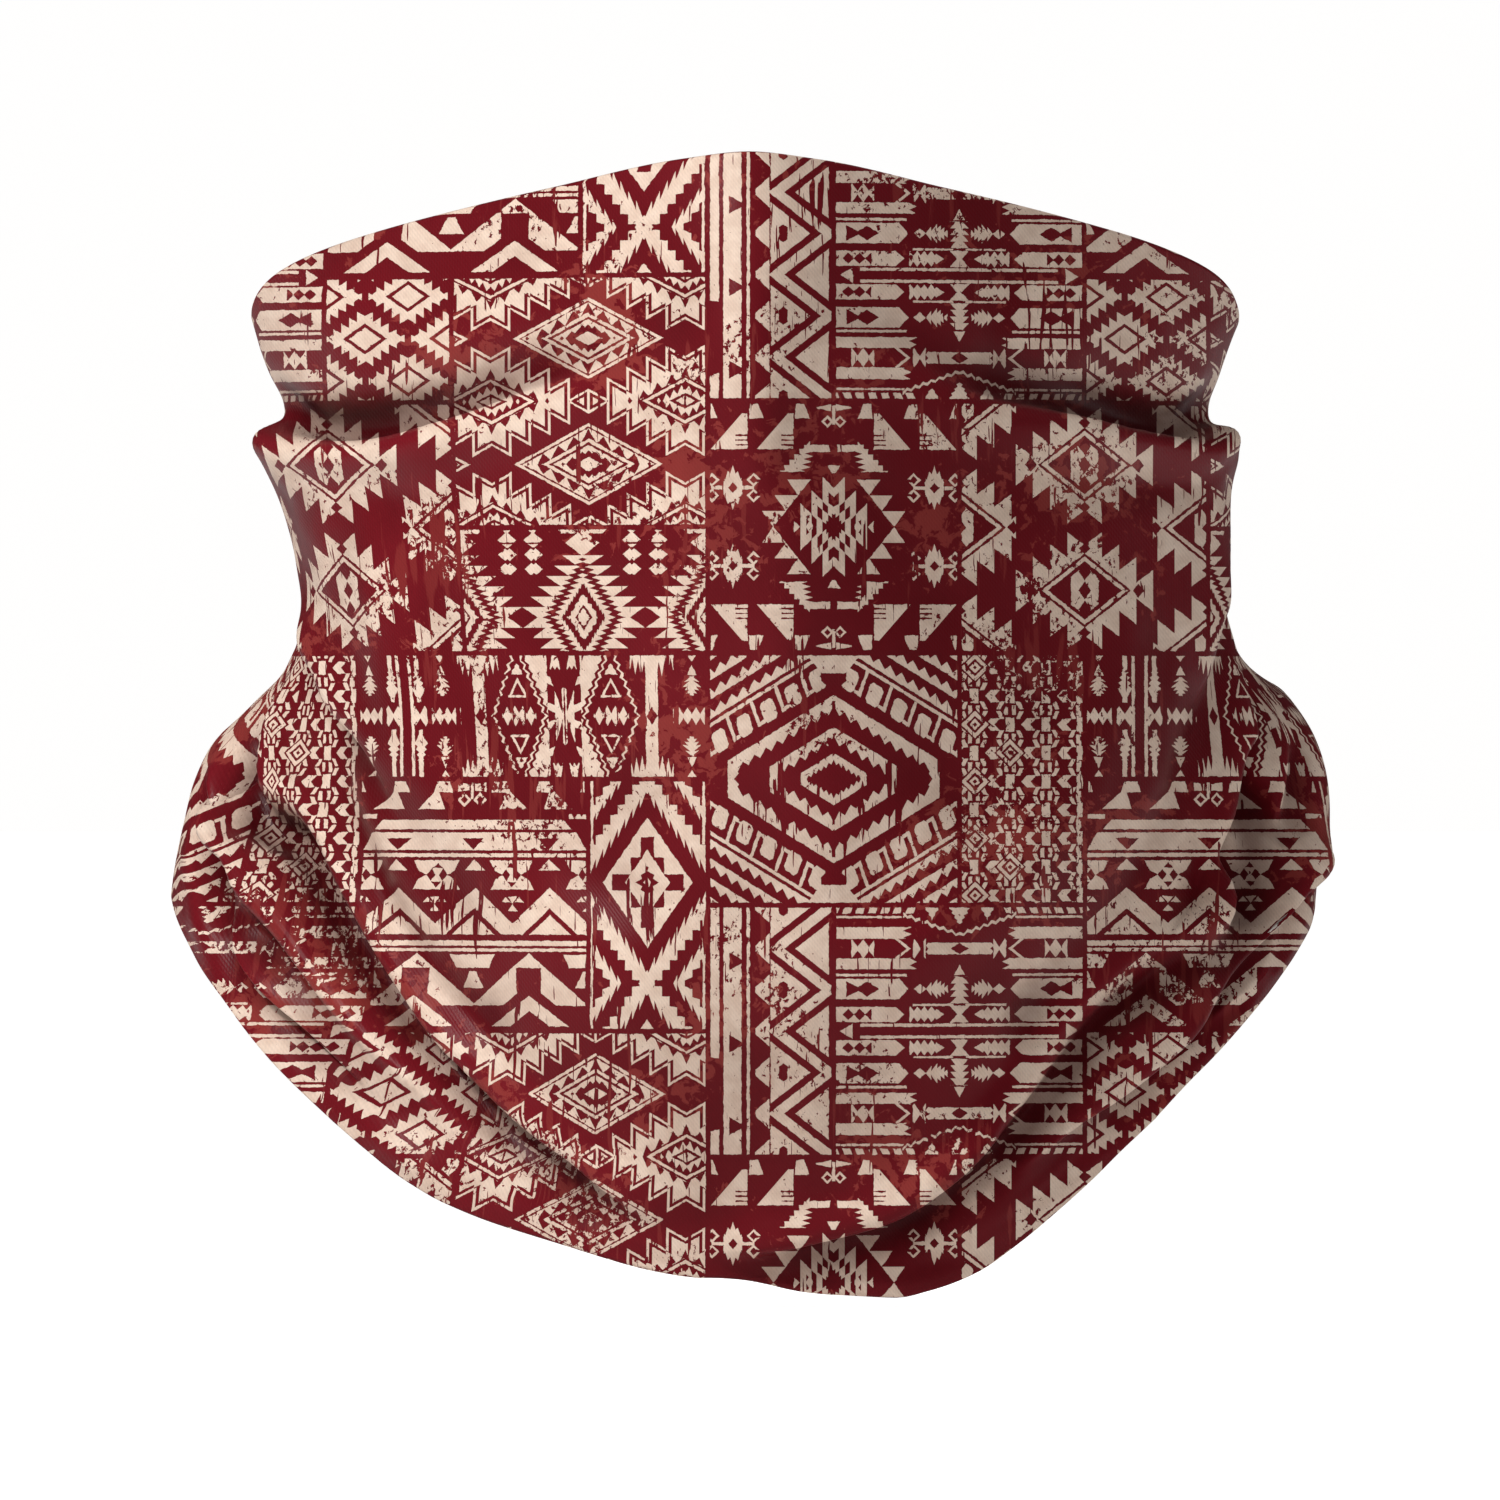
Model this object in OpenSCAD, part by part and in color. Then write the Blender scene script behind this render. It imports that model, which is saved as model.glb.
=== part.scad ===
// Neck gaiter, worn: a sewn tube of light jersey that covers nose, cheeks,
// chin and neck. The upper edge bridges the nose and runs back over the ears,
// the lower edge hangs as a loose collar, deepest under the chin.
// Millimetres. +Z is up, the nose points to -Y, the wearer's left is +X.
// The origin is the middle of the bounding box, at the lowest point.

/* [Overall size] */
// Height from the lowest point of the lower hem to the top of the nose bridge
total_h = 190; // [175:1:205]
// Width of the snug band that runs over the ears
face_w = 165.2; // [155:0.1:175]
// Width of the loose collar at its widest
collar_w = 193.2; // [184:0.1:200]
// Depth from the tip of the nose to the nape
depth = 196; // [182:1:208]

/* [Cloth] */
// Thickness of the brushed jersey
cloth_t = 0.8; // [0.6:0.1:1]
// Clearance between neighbouring layers
layer_gap = 0.4; // [0.3:0.05:0.5]
// Thickness of the folded-in hem ply
ply_t = 0.6; // [0.5:0.1:0.8]
// Width of the folded-in hem ply
hem_w = 8; // [6:1:9]
// Radius of the blind-stitch thread
thread_r = 0.3; // [0.2:0.05:0.4]

/* [Back seam] */
// Width of each seam allowance at the centre back
allowance_w = 6; // [4:0.5:8]
// Half the distance between the two needle rows
needle_x = 3.2; // [2.6:0.1:3.6]
// Distance between the looper thread's crossings
looper_pitch = 2.6; // [2:0.2:4]

/* [Care label] */
// Length of the folded label that stands out of the seam
label_l = 17; // [12:1:22]
// Height of the label
label_h = 13; // [10:1:16]
// Thickness of one label layer
label_t = 0.35; // [0.3:0.05:0.5]

/* [Resolution] */
// Steps around the tube
around = 72; // [60:4:84]

/* [Hidden] */

cloth_color = [0.45, 0.09, 0.11];
reverse_color = [0.80, 0.72, 0.67];
thread_color = [0.52, 0.12, 0.14];
label_color = [0.92, 0.91, 0.88];

kz = total_h / 190;
ky = depth / 196;
kf = face_w / 165.2;
kc = collar_w / 193.2;

// Heights along the three leading curves, as [angle from the nose, height].
// r: right-hand side in +X, l: the side in -X.
upper_l = [[0, 190], [6, 189], [23.4, 184], [41.5, 179], [59.5, 174], [76, 169], [90, 164],
           [110, 159], [135, 154], [160, 151], [180, 150]];
upper_r = [[0, 190], [6, 189], [23.4, 184], [41.5, 179], [59.5, 174], [76, 169], [90, 163.5],
           [110, 159], [135, 154], [160, 151], [180, 150]];
fold_l = [[0, 24], [12, 25], [22, 28], [29, 32], [35, 37], [43.5, 46], [51, 56], [60, 69.5],
          [71, 83], [80, 93], [90, 101.5], [110, 108], [135, 113], [160, 115.5], [180, 116]];
fold_r = [[0, 24], [12, 24], [22, 26], [30, 31], [38, 41], [45, 49], [54, 57], [66, 70],
          [74, 82], [80, 93], [90, 103], [110, 109], [135, 113], [160, 115.5], [180, 116]];
lower_l = [[0, 2.3], [8.6, 4], [19.5, 9], [29.4, 14], [36, 19], [41, 24], [45.8, 29], [50.6, 34],
           [55.5, 39], [60.3, 44], [65.2, 49], [71.1, 54], [77, 59], [90, 66], [110, 69.5],
           [135, 71], [160, 72], [180, 72]];
lower_r = [[0, 2.3], [5, 1], [10, 0.4], [15, 0], [18.6, 1.2], [23.5, 4], [28.5, 9], [32.8, 14],
           [37, 19], [41.1, 24], [45.5, 29], [49.8, 34], [54.6, 39], [59.6, 44], [65.2, 49],
           [71.3, 54], [79, 59], [90, 64], [110, 69], [135, 71], [160, 72], [180, 72]];

// Level: 1 at the upper edge, 0 at the main fold, -1 at the lower edge.
// Half width of the tube on each side, as [level, half width].
side_l = [[-1, 96.7], [-0.634, 94.3], [-0.493, 93], [-0.352, 90.7], [-0.21, 87], [-0.07, 81.5],
          [0, 78.5], [0.2, 74.3], [0.36, 75.5], [0.44, 76.7], [0.66, 81.5], [0.76, 77.5],
          [0.89, 81.8], [1, 83.2]];
side_r = [[-1, 94.7], [-0.74, 95.7], [-0.49, 96.5], [-0.36, 95.2], [-0.23, 93], [-0.1, 89],
          [0, 82.8], [0.18, 79.3], [0.43, 80.5], [0.63, 81.5], [0.73, 75.9], [0.89, 80.6], [1, 82]];
// Reach of the cloth towards the nose, as [height at the front, reach].
front_y = [[0, 83], [13, 86], [24, 90], [35, 95], [48, 100], [60, 102.5], [90, 103.5], [120, 105],
           [148, 108], [160, 107.5], [175, 104], [190, 98]];
// Reach of the cloth towards the nape, as [height at the back, reach].
back_y = [[70, 88], [86, 91], [98, 90.5], [106, 87], [116, 82], [122, 80.5], [128, 82.5], [134, 86],
          [139, 84], [145, 87], [150, 88]];
// Share and sharpness of the nose ridge in the plan shape, by height.
ridge_share = [[0, 0.12], [40, 0.12], [60, 0.16], [100, 0.32], [140, 0.55], [190, 0.58]];
ridge_round = [[0, 0.35], [60, 0.35], [110, 0.2], [145, 0.12], [190, 0.11]];

function mix(a, b, t) = a + (b - a) * t;
function z_up(p) = lookup(abs(p), p < 0 ? upper_l : upper_r) * kz;
function z_fold(p) = lookup(abs(p), p < 0 ? fold_l : fold_r) * kz;
function z_low(p) = lookup(abs(p), p < 0 ? lower_l : lower_r) * kz;
function z_at(lv, p) = lv >= 0 ? mix(z_fold(p), z_up(p), lv) : mix(z_fold(p), z_low(p), -lv);
function width_k(lv) = lv >= 0 ? kf : mix(kf, kc, -lv);
function half_w(lv, p) =
    let (s = lookup(lv, side_l), r = lookup(lv, side_r), t = (1 + sin(p)) / 2)
    mix(s, r, p < -60 ? 0 : p > 60 ? 1 : t * t * (3 - 2 * t)) * width_k(lv);
function wedge(p, e) = (sqrt(1 + e * e) - sqrt(pow(sin(p), 2) + e * e)) / (sqrt(1 + e * e) - e);
function front_reach(lv, i) = lookup(z_at(lv, 0) / kz, front_y) * ky - i;
function back_reach(z, i) = lookup(z / kz, back_y) * ky - i;
function front_shape(p, z) = mix(cos(p), wedge(p, lookup(z / kz, ridge_round)), lookup(z / kz, ridge_share));
function surf(lv, p, i, dz = 0) =
    [(half_w(lv, p) - i) * sin(p),
     abs(p) <= 90 ? -front_reach(lv, i) * front_shape(p, z_at(lv, 0)) : -back_reach(z_at(lv, 180), i) * cos(p),
     z_at(lv, p) + dz];

step = 360 / around;
angles = [for (c = [0 : around - 1]) -180 + c * step];

// Levels of the rows of each panel, from its lower edge to its upper edge.
face_rows = [0, 0.07, 0.14, 0.19, 0.28, 0.36, 0.44, 0.55, 0.64, 0.69, 0.75, 0.82, 0.89, 0.95, 1];
neck_rows = [-0.3, -0.22, -0.15, -0.08, 0];
drape_rows = [-1, -0.87, -0.74, -0.63, -0.49, -0.4, -0.3];

// Middle of the bounding box, so that the origin sits under it.
box_pts = concat([for (l = concat(drape_rows, face_rows)) for (p = angles) surf(l, p, 0)]);
x_mid = (min([for (q = box_pts) q[0]]) + max([for (q = box_pts) q[0]])) / 2;
y_mid = (min([for (q = box_pts) q[1]]) + max([for (q = box_pts) q[1]])) / 2;
z_min = min([for (q = box_pts) q[2]]);

module placed() translate([-x_mid, -y_mid, -z_min]) children();

// Closed shell between two stacks of rings with the same number of points.
module ring_shell(outer, inner) {
    n = len(outer[0]);
    m = len(outer);
    top = m - 1;
    function o(r, c) = r * n + c % n;
    function i(r, c) = (m + r) * n + c % n;
    polyhedron(
        points = [for (row = concat(outer, inner)) for (q = row) q],
        faces = concat(
            [for (r = [0 : m - 2]) for (c = [0 : n - 1]) each [
                [o(r, c), o(r + 1, c), o(r + 1, c + 1)], [o(r, c), o(r + 1, c + 1), o(r, c + 1)],
                [i(r, c), i(r + 1, c + 1), i(r + 1, c)], [i(r, c), i(r, c + 1), i(r + 1, c + 1)]]],
            [for (c = [0 : n - 1]) each [
                [o(0, c), o(0, c + 1), i(0, c + 1)], [o(0, c), i(0, c + 1), i(0, c)],
                [o(top, c + 1), o(top, c), i(top, c)], [o(top, c + 1), i(top, c), i(top, c + 1)]]]),
        convexity = 6);
}

// Closed tube swept round the neck: a ring of small polygons.
module ring_tube(rings) {
    n = len(rings);
    k = len(rings[0]);
    function v(c, j) = (c % n) * k + j % k;
    polyhedron(
        points = [for (row = rings) for (q = row) q],
        faces = [for (c = [0 : n - 1]) for (j = [0 : k - 1]) each [
            [v(c, j), v(c + 1, j), v(c + 1, j + 1)], [v(c, j), v(c + 1, j + 1), v(c, j + 1)]]],
        convexity = 6);
}

// One panel of the tube. trim_lo and trim_hi cut it back from its neighbours.
module panel(rows, trim_lo = 0, trim_hi = 0) {
    last = len(rows) - 1;
    function off(k) = k == 0 ? trim_lo : k == last ? -trim_hi : 0;
    ring_shell([for (k = [0 : last]) [for (p = angles) surf(rows[k], p, 0, off(k))]],
               [for (k = [0 : last]) [for (p = angles) surf(rows[k], p, cloth_t, off(k))]]);
}

// Level of a point d below the upper edge, or d above the lower edge.
function lv_top(d, p) = 1 - d / (z_up(p) - z_fold(p));
function lv_low(d, p) = -1 + d / (z_fold(p) - z_low(p));
ply_in = cloth_t + layer_gap;
stitch_in = ply_in + ply_t + layer_gap / 2 + thread_r;

// Folded-in hem ply. from_top picks the edge that it belongs to.
module hem_ply(from_top) {
    stitch_d = hem_w - 1.6;
    ds = from_top ? [hem_w, stitch_d, hem_w / 2, 0.4] : [0.4, hem_w / 2, stitch_d, hem_w];
    ring_shell([for (d = ds) [for (p = angles) surf(from_top ? lv_top(d, p) : lv_low(d, p), p, ply_in)]],
               [for (d = ds) [for (p = angles) surf(from_top ? lv_top(d, p) : lv_low(d, p), p, ply_in + ply_t)]]);
}

// Line of blind-stitch thread, inside the hem ply near its free edge.
module hem_thread(from_top) {
    d = hem_w - 1.6;
    ring_tube([for (p = angles)
        let (q = surf(from_top ? lv_top(d, p) : lv_low(d, p), p, stitch_in))
        [for (j = [0 : 5]) q + thread_r * [sin(p) * cos(j * 60), -cos(p) * cos(j * 60), sin(j * 60)]]]);
}

// The back seam runs between the two hems.
seam_z0 = z_low(180) + hem_w + 3;
seam_z1 = z_up(180) - hem_w - 3;
seam_n = 20;
seam_zs = [for (k = [0 : seam_n]) mix(seam_z0, seam_z1, k / seam_n)];

seam_line = [for (z = seam_zs) [z, back_reach(z, 0)]];
function seam_y(z) = lookup(z, seam_line);

// Strip along the back seam from x0 to x1, set in from the cloth's face.
module seam_strip(x0, x1, inset, t) {
    m = len(seam_zs);
    function y(z, x) = seam_y(z) - inset - x * x / 170;
    pts = [for (z = seam_zs) each [[x0, y(z, x0), z], [x1, y(z, x1), z], [x1, y(z, x1) - t, z], [x0, y(z, x0) - t, z]]];
    function v(r, j) = r * 4 + j % 4;
    polyhedron(
        points = pts,
        faces = concat(
            [for (r = [0 : m - 2]) for (j = [0 : 3]) each [
                [v(r, j), v(r, j + 1), v(r + 1, j + 1)], [v(r, j), v(r + 1, j + 1), v(r + 1, j)]]],
            [[v(0, 0), v(0, 3), v(0, 2)], [v(0, 0), v(0, 2), v(0, 1)],
             [v(m - 1, 0), v(m - 1, 1), v(m - 1, 2)], [v(m - 1, 0), v(m - 1, 2), v(m - 1, 3)]]),
        convexity = 4);
}

seam_in = cloth_t + 2.5 * layer_gap;
seam_thread_in = seam_in + ply_t + layer_gap / 2;

// Needle thread: one continuous row along the seam.
module needle_row(x) seam_strip(x - thread_r, x + thread_r, seam_thread_in, 2 * thread_r);

module face_panel() color(cloth_color) placed() panel(face_rows, trim_lo = layer_gap / 2);
module neck_panel() color(cloth_color) placed() panel(neck_rows, layer_gap / 2, layer_gap / 2);
module drape_panel() color(cloth_color) placed() panel(drape_rows, trim_hi = layer_gap / 2);
module top_hem_ply() color(reverse_color) placed() hem_ply(true);
module bottom_hem_ply() color(reverse_color) placed() hem_ply(false);
module top_hem_thread() color(thread_color) placed() hem_thread(true);
module bottom_hem_thread() color(thread_color) placed() hem_thread(false);
module seam_allowance_left() color(reverse_color) placed() seam_strip(0.4, 0.4 + allowance_w, seam_in, ply_t);
module seam_allowance_right() color(reverse_color) placed() seam_strip(-0.4 - allowance_w, -0.4, seam_in, ply_t);
module seam_needle_thread_left() color(thread_color) placed() needle_row(needle_x);
module seam_needle_thread_right() color(thread_color) placed() needle_row(-needle_x);

// Looper thread: rungs that cross the seam between the needle rows.
module seam_looper_thread() color(thread_color) placed()
    for (z = [seam_z0 + 1.5 : looper_pitch : seam_z1 - 1.5])
        translate([0, seam_y(z) - seam_thread_in - thread_r - 0.15, z])
            rotate([0, 90, 0])
                cylinder(r = thread_r * 0.85, h = 2 * (needle_x - thread_r - 0.25), center = true, $fn = 24);

// Plain folded label: a hairpin of thin tape, its two ends at the seam.
label_x0 = 0.4 + allowance_w + 0.8;
label_z = (seam_z0 + seam_z1) / 2;
label_half = label_t + 0.25;
module label_profile() difference() {
    union() {
        translate([0, -label_half]) square([label_l - label_half, 2 * label_half]);
        translate([label_l - label_half, 0]) circle(r = label_half, $fn = 32);
    }
    translate([-1, -0.25]) square([label_l - label_half + 1, 0.5]);
    translate([label_l - label_half, 0]) circle(r = 0.25, $fn = 32);
}
module on_seam_side() translate([label_x0, back_reach(label_z, 5.2), label_z]) rotate([0, 0, -14]) children();
module care_label() color(label_color) placed() on_seam_side()
    translate([0, 0, -label_h / 2]) linear_extrude(height = label_h) label_profile();

// Short stitches that tack the label's root.
module care_label_thread() color(thread_color) placed() on_seam_side()
    for (k = [-1 : 1])
        translate([1.6, -label_half - 0.2 - thread_r, k * label_h / 3.4])
            cylinder(r = thread_r * 0.85, h = label_h / 4.6, center = true, $fn = 24);

face_panel();
neck_panel();
drape_panel();
top_hem_ply();
top_hem_thread();
bottom_hem_ply();
bottom_hem_thread();
seam_allowance_left();
seam_allowance_right();
seam_needle_thread_left();
seam_needle_thread_right();
seam_looper_thread();
care_label();
care_label_thread();
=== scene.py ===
import math

import bmesh
import bpy
import numpy as np
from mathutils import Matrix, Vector


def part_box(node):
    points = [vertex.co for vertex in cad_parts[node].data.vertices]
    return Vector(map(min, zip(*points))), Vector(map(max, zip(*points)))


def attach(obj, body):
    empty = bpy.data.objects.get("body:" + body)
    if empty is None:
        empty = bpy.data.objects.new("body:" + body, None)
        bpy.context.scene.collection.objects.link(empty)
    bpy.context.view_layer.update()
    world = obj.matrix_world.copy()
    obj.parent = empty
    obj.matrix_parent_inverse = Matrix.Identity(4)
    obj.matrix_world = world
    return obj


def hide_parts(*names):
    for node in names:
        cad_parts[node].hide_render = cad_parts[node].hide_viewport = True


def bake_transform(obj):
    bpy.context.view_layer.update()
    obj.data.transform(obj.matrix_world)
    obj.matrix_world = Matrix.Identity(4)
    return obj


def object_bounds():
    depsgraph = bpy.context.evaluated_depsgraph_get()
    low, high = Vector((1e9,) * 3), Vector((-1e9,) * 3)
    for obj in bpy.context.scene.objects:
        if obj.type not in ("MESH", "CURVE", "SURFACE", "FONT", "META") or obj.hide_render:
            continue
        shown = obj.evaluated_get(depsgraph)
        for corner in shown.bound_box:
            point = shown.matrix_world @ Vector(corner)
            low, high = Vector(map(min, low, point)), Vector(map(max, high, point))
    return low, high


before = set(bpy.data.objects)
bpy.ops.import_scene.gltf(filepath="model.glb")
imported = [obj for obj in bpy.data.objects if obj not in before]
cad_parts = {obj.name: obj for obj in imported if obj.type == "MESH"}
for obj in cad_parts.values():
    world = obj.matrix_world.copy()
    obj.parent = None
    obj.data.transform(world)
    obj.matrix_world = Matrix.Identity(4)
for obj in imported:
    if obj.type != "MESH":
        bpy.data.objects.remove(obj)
CAD_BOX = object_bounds()

# ------------------------------------------------------------------ frame
# The design below is drawn in millimetres on the CAD solids' own proportions; every length is scaled
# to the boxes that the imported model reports, so it follows the CAD if that changes.
lo, hi = CAD_BOX
SX = (hi.x - lo.x) / 0.1932
SY = (hi.y - lo.y) / 0.198884
SZ = (hi.z - lo.z) / 0.190
X0 = (hi.x + lo.x) / 2 * 1000 + 0.1 * SX
Y0 = (hi.y + lo.y) / 2 * 1000 + 8.542 * SY
Z0 = lo.z * 1000
CLOTH = 0.62          # visible cloth thickness, mm
HEM = 8.0             # width of the folded-in hem, mm


def to_frame(p):
    """Design millimetres to row-frame metres."""
    out = np.empty_like(p)
    out[..., 0] = (p[..., 0] * SX + X0) / 1000
    out[..., 1] = (p[..., 1] * SY + Y0) / 1000
    out[..., 2] = (p[..., 2] * SZ + Z0) / 1000
    return out


# ------------------------------------------------------------------ small maths
def table(pairs, x):
    """Monotone cubic through [(x, y), ...]: smooth, no overshoot."""
    k = np.array(pairs, float)
    xs, ys = k[:, 0], k[:, 1]
    h, d = np.diff(xs), np.diff(ys) / np.diff(xs)
    m = np.zeros(len(xs))
    same = d[1:] * d[:-1] > 0
    w1, w2 = 2 * h[1:] + h[:-1], h[1:] + 2 * h[:-1]
    with np.errstate(divide="ignore", invalid="ignore"):
        harmonic = (w1 + w2) / (w1 / d[:-1] + w2 / d[1:])
    m[1:-1] = np.where(same, harmonic, 0)
    m[0], m[-1] = d[0], d[-1]
    x = np.asarray(x, float)
    xc = np.clip(x, xs[0], xs[-1])
    i = np.clip(np.searchsorted(xs, xc, side="right") - 1, 0, len(xs) - 2)
    t = (xc - xs[i]) / h[i]
    a = (1 + 2 * t) * (1 - t) ** 2
    b = t * (1 - t) ** 2
    c = t * t * (3 - 2 * t)
    e = t * t * (t - 1)
    return a * ys[i] + b * h[i] * m[i] + c * ys[i + 1] + e * h[i] * m[i + 1]


def smooth(x, a, b):
    t = np.clip((x - a) / (b - a), 0, 1)
    return t * t * (3 - 2 * t)


def lattice_noise(seed, n=4096):
    return np.random.RandomState(seed).rand(n)


def wave_noise(p, seed, scale, count=14):
    """Smooth seeded noise from a few random waves, about -1 to 1."""
    r = np.random.RandomState(seed)
    total = np.zeros(p.shape[:-1])
    for _ in range(count):
        k = r.normal(size=3)
        k = k / np.linalg.norm(k) * (0.6 + 0.8 * r.rand()) * 2 * math.pi / scale
        total += np.sin(p @ k + r.rand() * 2 * math.pi)
    return total / math.sqrt(count)


# ------------------------------------------------------------------ base surface (worn shape without folds)
# Angle in degrees round the tube: 0 at the nose, +90 at the wearer's left (+X), 180 at the nape.
UPPER = [(-180, 150), (-160, 151), (-135, 154), (-110, 159), (-90, 164), (-76, 169), (-59.5, 174),
         (-41.5, 179), (-23.4, 184.2), (-8, 188.8), (0, 190), (8, 188.8), (23.4, 184.2), (41.5, 179), (59.5, 174),
         (76, 169), (90, 163.5), (110, 159), (135, 154), (160, 151), (180, 150)]
MIDDLE = [(-180, 116), (-160, 115.5), (-135, 113), (-110, 108), (-90, 101.5), (-80, 93), (-71, 83), (-60, 69.5),
          (-51, 56), (-43.5, 46), (-35, 37), (-29, 32), (-22, 28), (-12, 25), (0, 24), (12, 24), (22, 26),
          (30, 31), (38, 41), (45, 49), (54, 57), (66, 70), (74, 82), (80, 93), (90, 103), (110, 109),
          (135, 113), (160, 115.5), (180, 116)]
LOWER = [(-180, 72), (-160, 72), (-135, 71), (-110, 69.5), (-90, 66), (-77, 59), (-71.1, 54), (-65.2, 49),
         (-60.3, 44), (-55.5, 39), (-50.6, 34), (-45.8, 29), (-41, 24), (-36, 19), (-29.4, 14), (-19.5, 9),
         (-8.6, 4), (0, 2.3), (5, 1.1), (10, 0.4), (15, 0), (18.6, 1.2), (23.5, 4), (28.5, 9), (32.8, 14),
         (37, 19), (41.1, 24), (45.5, 29), (49.8, 34), (54.6, 39), (59.6, 44), (65.2, 49), (71.3, 54),
         (79, 59), (90, 64), (110, 69), (135, 71), (160, 72), (180, 72)]
WIDE_R = [(60, 96.4), (66, 96.4), (69, 96.3), (74, 95.6), (79, 94.4), (84, 93.3), (89, 90.6), (94, 85.4), (98, 80.6),
          (102, 76.8), (106, 75.3), (110, 75.0), (114, 73.5), (119, 74.6), (124, 75.3), (129, 76.8), (134, 78.6),
          (139, 79.7), (144, 78.9), (149, 79.6), (154, 80.5), (159, 82), (164, 83.2)]
WIDE_L = [(60, 94.2), (64, 94.5), (69, 95.1), (74, 94.9), (79, 96.2), (84, 96.5), (89, 96), (94, 94), (99, 89.2),
          (103, 82.2), (109, 80.8), (114, 79.6), (119, 79.8), (124, 80.3), (129, 80.5), (134, 80.6), (139, 80.5),
          (144, 78.0), (149, 78.3), (154, 79), (159, 80.6), (163.5, 82)]
NOSE = [(0, 83.5), (13, 86.5), (24, 90.5), (35, 95.5), (46, 100), (60, 102.8), (90, 103), (115, 104.5),
        (135, 107), (150, 107.9), (162, 107), (175, 103.5), (190, 98)]
NAPE = [(70, 88), (80, 90.3), (90, 91), (98, 90), (106, 87), (114, 84), (122, 82), (130, 82.5), (138, 84),
        (145, 86.5), (150, 88)]
RIDGE_SHARE = [(0, 0.10), (40, 0.12), (60, 0.17), (100, 0.34), (140, 0.55), (190, 0.6)]
RIDGE_ROUND = [(0, 0.4), (60, 0.36), (105, 0.2), (142, 0.09), (190, 0.07)]


def z_of(lv, phi):
    u, m, d = table(UPPER, phi) - 0.8, table(MIDDLE, phi), table(LOWER, phi) + 0.8
    return np.where(lv >= 0, m + (u - m) * lv, m + (m - d) * lv)


def level_of(z, phi):
    u, m, d = table(UPPER, phi) - 0.8, table(MIDDLE, phi), table(LOWER, phi) + 0.8
    return np.where(z >= m, (z - m) / (u - m), (z - m) / (m - d))


def half_width(lv, phi):
    a = table(WIDE_R, z_of(lv, np.full_like(phi, -90.0)))
    b = table(WIDE_L, z_of(lv, np.full_like(phi, 90.0)))
    return a + (b - a) * smooth(np.sin(np.radians(np.clip(phi, -180, 180))), -0.87, 0.87)


def base(lv, phi):
    """Point of the unfolded worn surface, in design millimetres."""
    lv, phi = np.broadcast_arrays(np.asarray(lv, float), np.asarray(phi, float))
    r = np.radians(phi)
    s, c = np.sin(r), np.cos(r)
    z0 = z_of(lv, np.zeros_like(phi))
    e, k = table(RIDGE_ROUND, z0), table(RIDGE_SHARE, z0)
    wedge = (np.sqrt(1 + e * e) - np.sqrt(s * s + e * e)) / (np.sqrt(1 + e * e) - e)
    front = -table(NOSE, z0) * ((1 - k) * c + k * wedge)
    back = -table(NAPE, z_of(lv, np.full_like(phi, 180.0))) * c
    y = np.where(c >= 0, front, back)
    return np.stack([half_width(lv, phi) * s, y, z_of(lv, phi)], -1)


def normal(lv, phi):
    a = base(lv, phi + 0.15) - base(lv, phi - 0.15)
    b = base(np.minimum(lv + 0.004, 1.0), phi) - base(np.maximum(lv - 0.004, -1.0), phi)
    n = np.cross(a, b)
    return n / np.linalg.norm(n, axis=-1, keepdims=True)


# ------------------------------------------------------------------ grid
def spread(counts):
    """Grid lines from [(from, to, count), ...], each stretch evenly spaced, ends shared."""
    out = [counts[0][0]]
    for a, b, n in counts:
        out += list(np.linspace(a, b, n + 1)[1:])
    return np.array(out)


GAP = 0.03            # half of the butt gap at the back seam, degrees
half_cols = [(0, 46, 46), (46, 97, 88), (97, 120, 24), (120, 180 - GAP, 42)]
right_side = spread(half_cols)
PHI = np.concatenate([-right_side[:0:-1], right_side])
LV = spread([(-1, 0, 44), (0, 0.3, 30), (0.3, 0.6, 26), (0.6, 0.86, 30), (0.86, 1, 12)])
LV_NECK_LOW, LV_NECK_HIGH = -0.3, 0.0
PP, LL = np.meshgrid(PHI, LV)          # rows are levels, from the lower edge up


# ------------------------------------------------------------------ folds
def locate(points):
    """Fold path points given as seen from the front, (x, z), to (level, angle) on the base surface."""
    out = []
    for x, z in points:
        phi = math.degrees(math.asin(max(-0.999, min(0.999, x / 85))))
        lv = 0.0
        for _ in range(25):
            lv = float(np.clip(level_of(np.array(z, float), np.array(phi)), -1, 1))
            w = float(half_width(np.array(lv), np.array(phi)))
            phi = 0.5 * phi + 0.5 * math.degrees(math.asin(max(-0.9999, min(0.9999, x / w))))
        out.append((lv, phi))
    return out


def around(pairs):
    """Fold path points round the side and back, (angle, z), to (level, angle)."""
    return [(float(np.clip(level_of(np.array(z, float), np.array(float(a))), -1, 1)), float(a)) for a, z in pairs]


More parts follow.
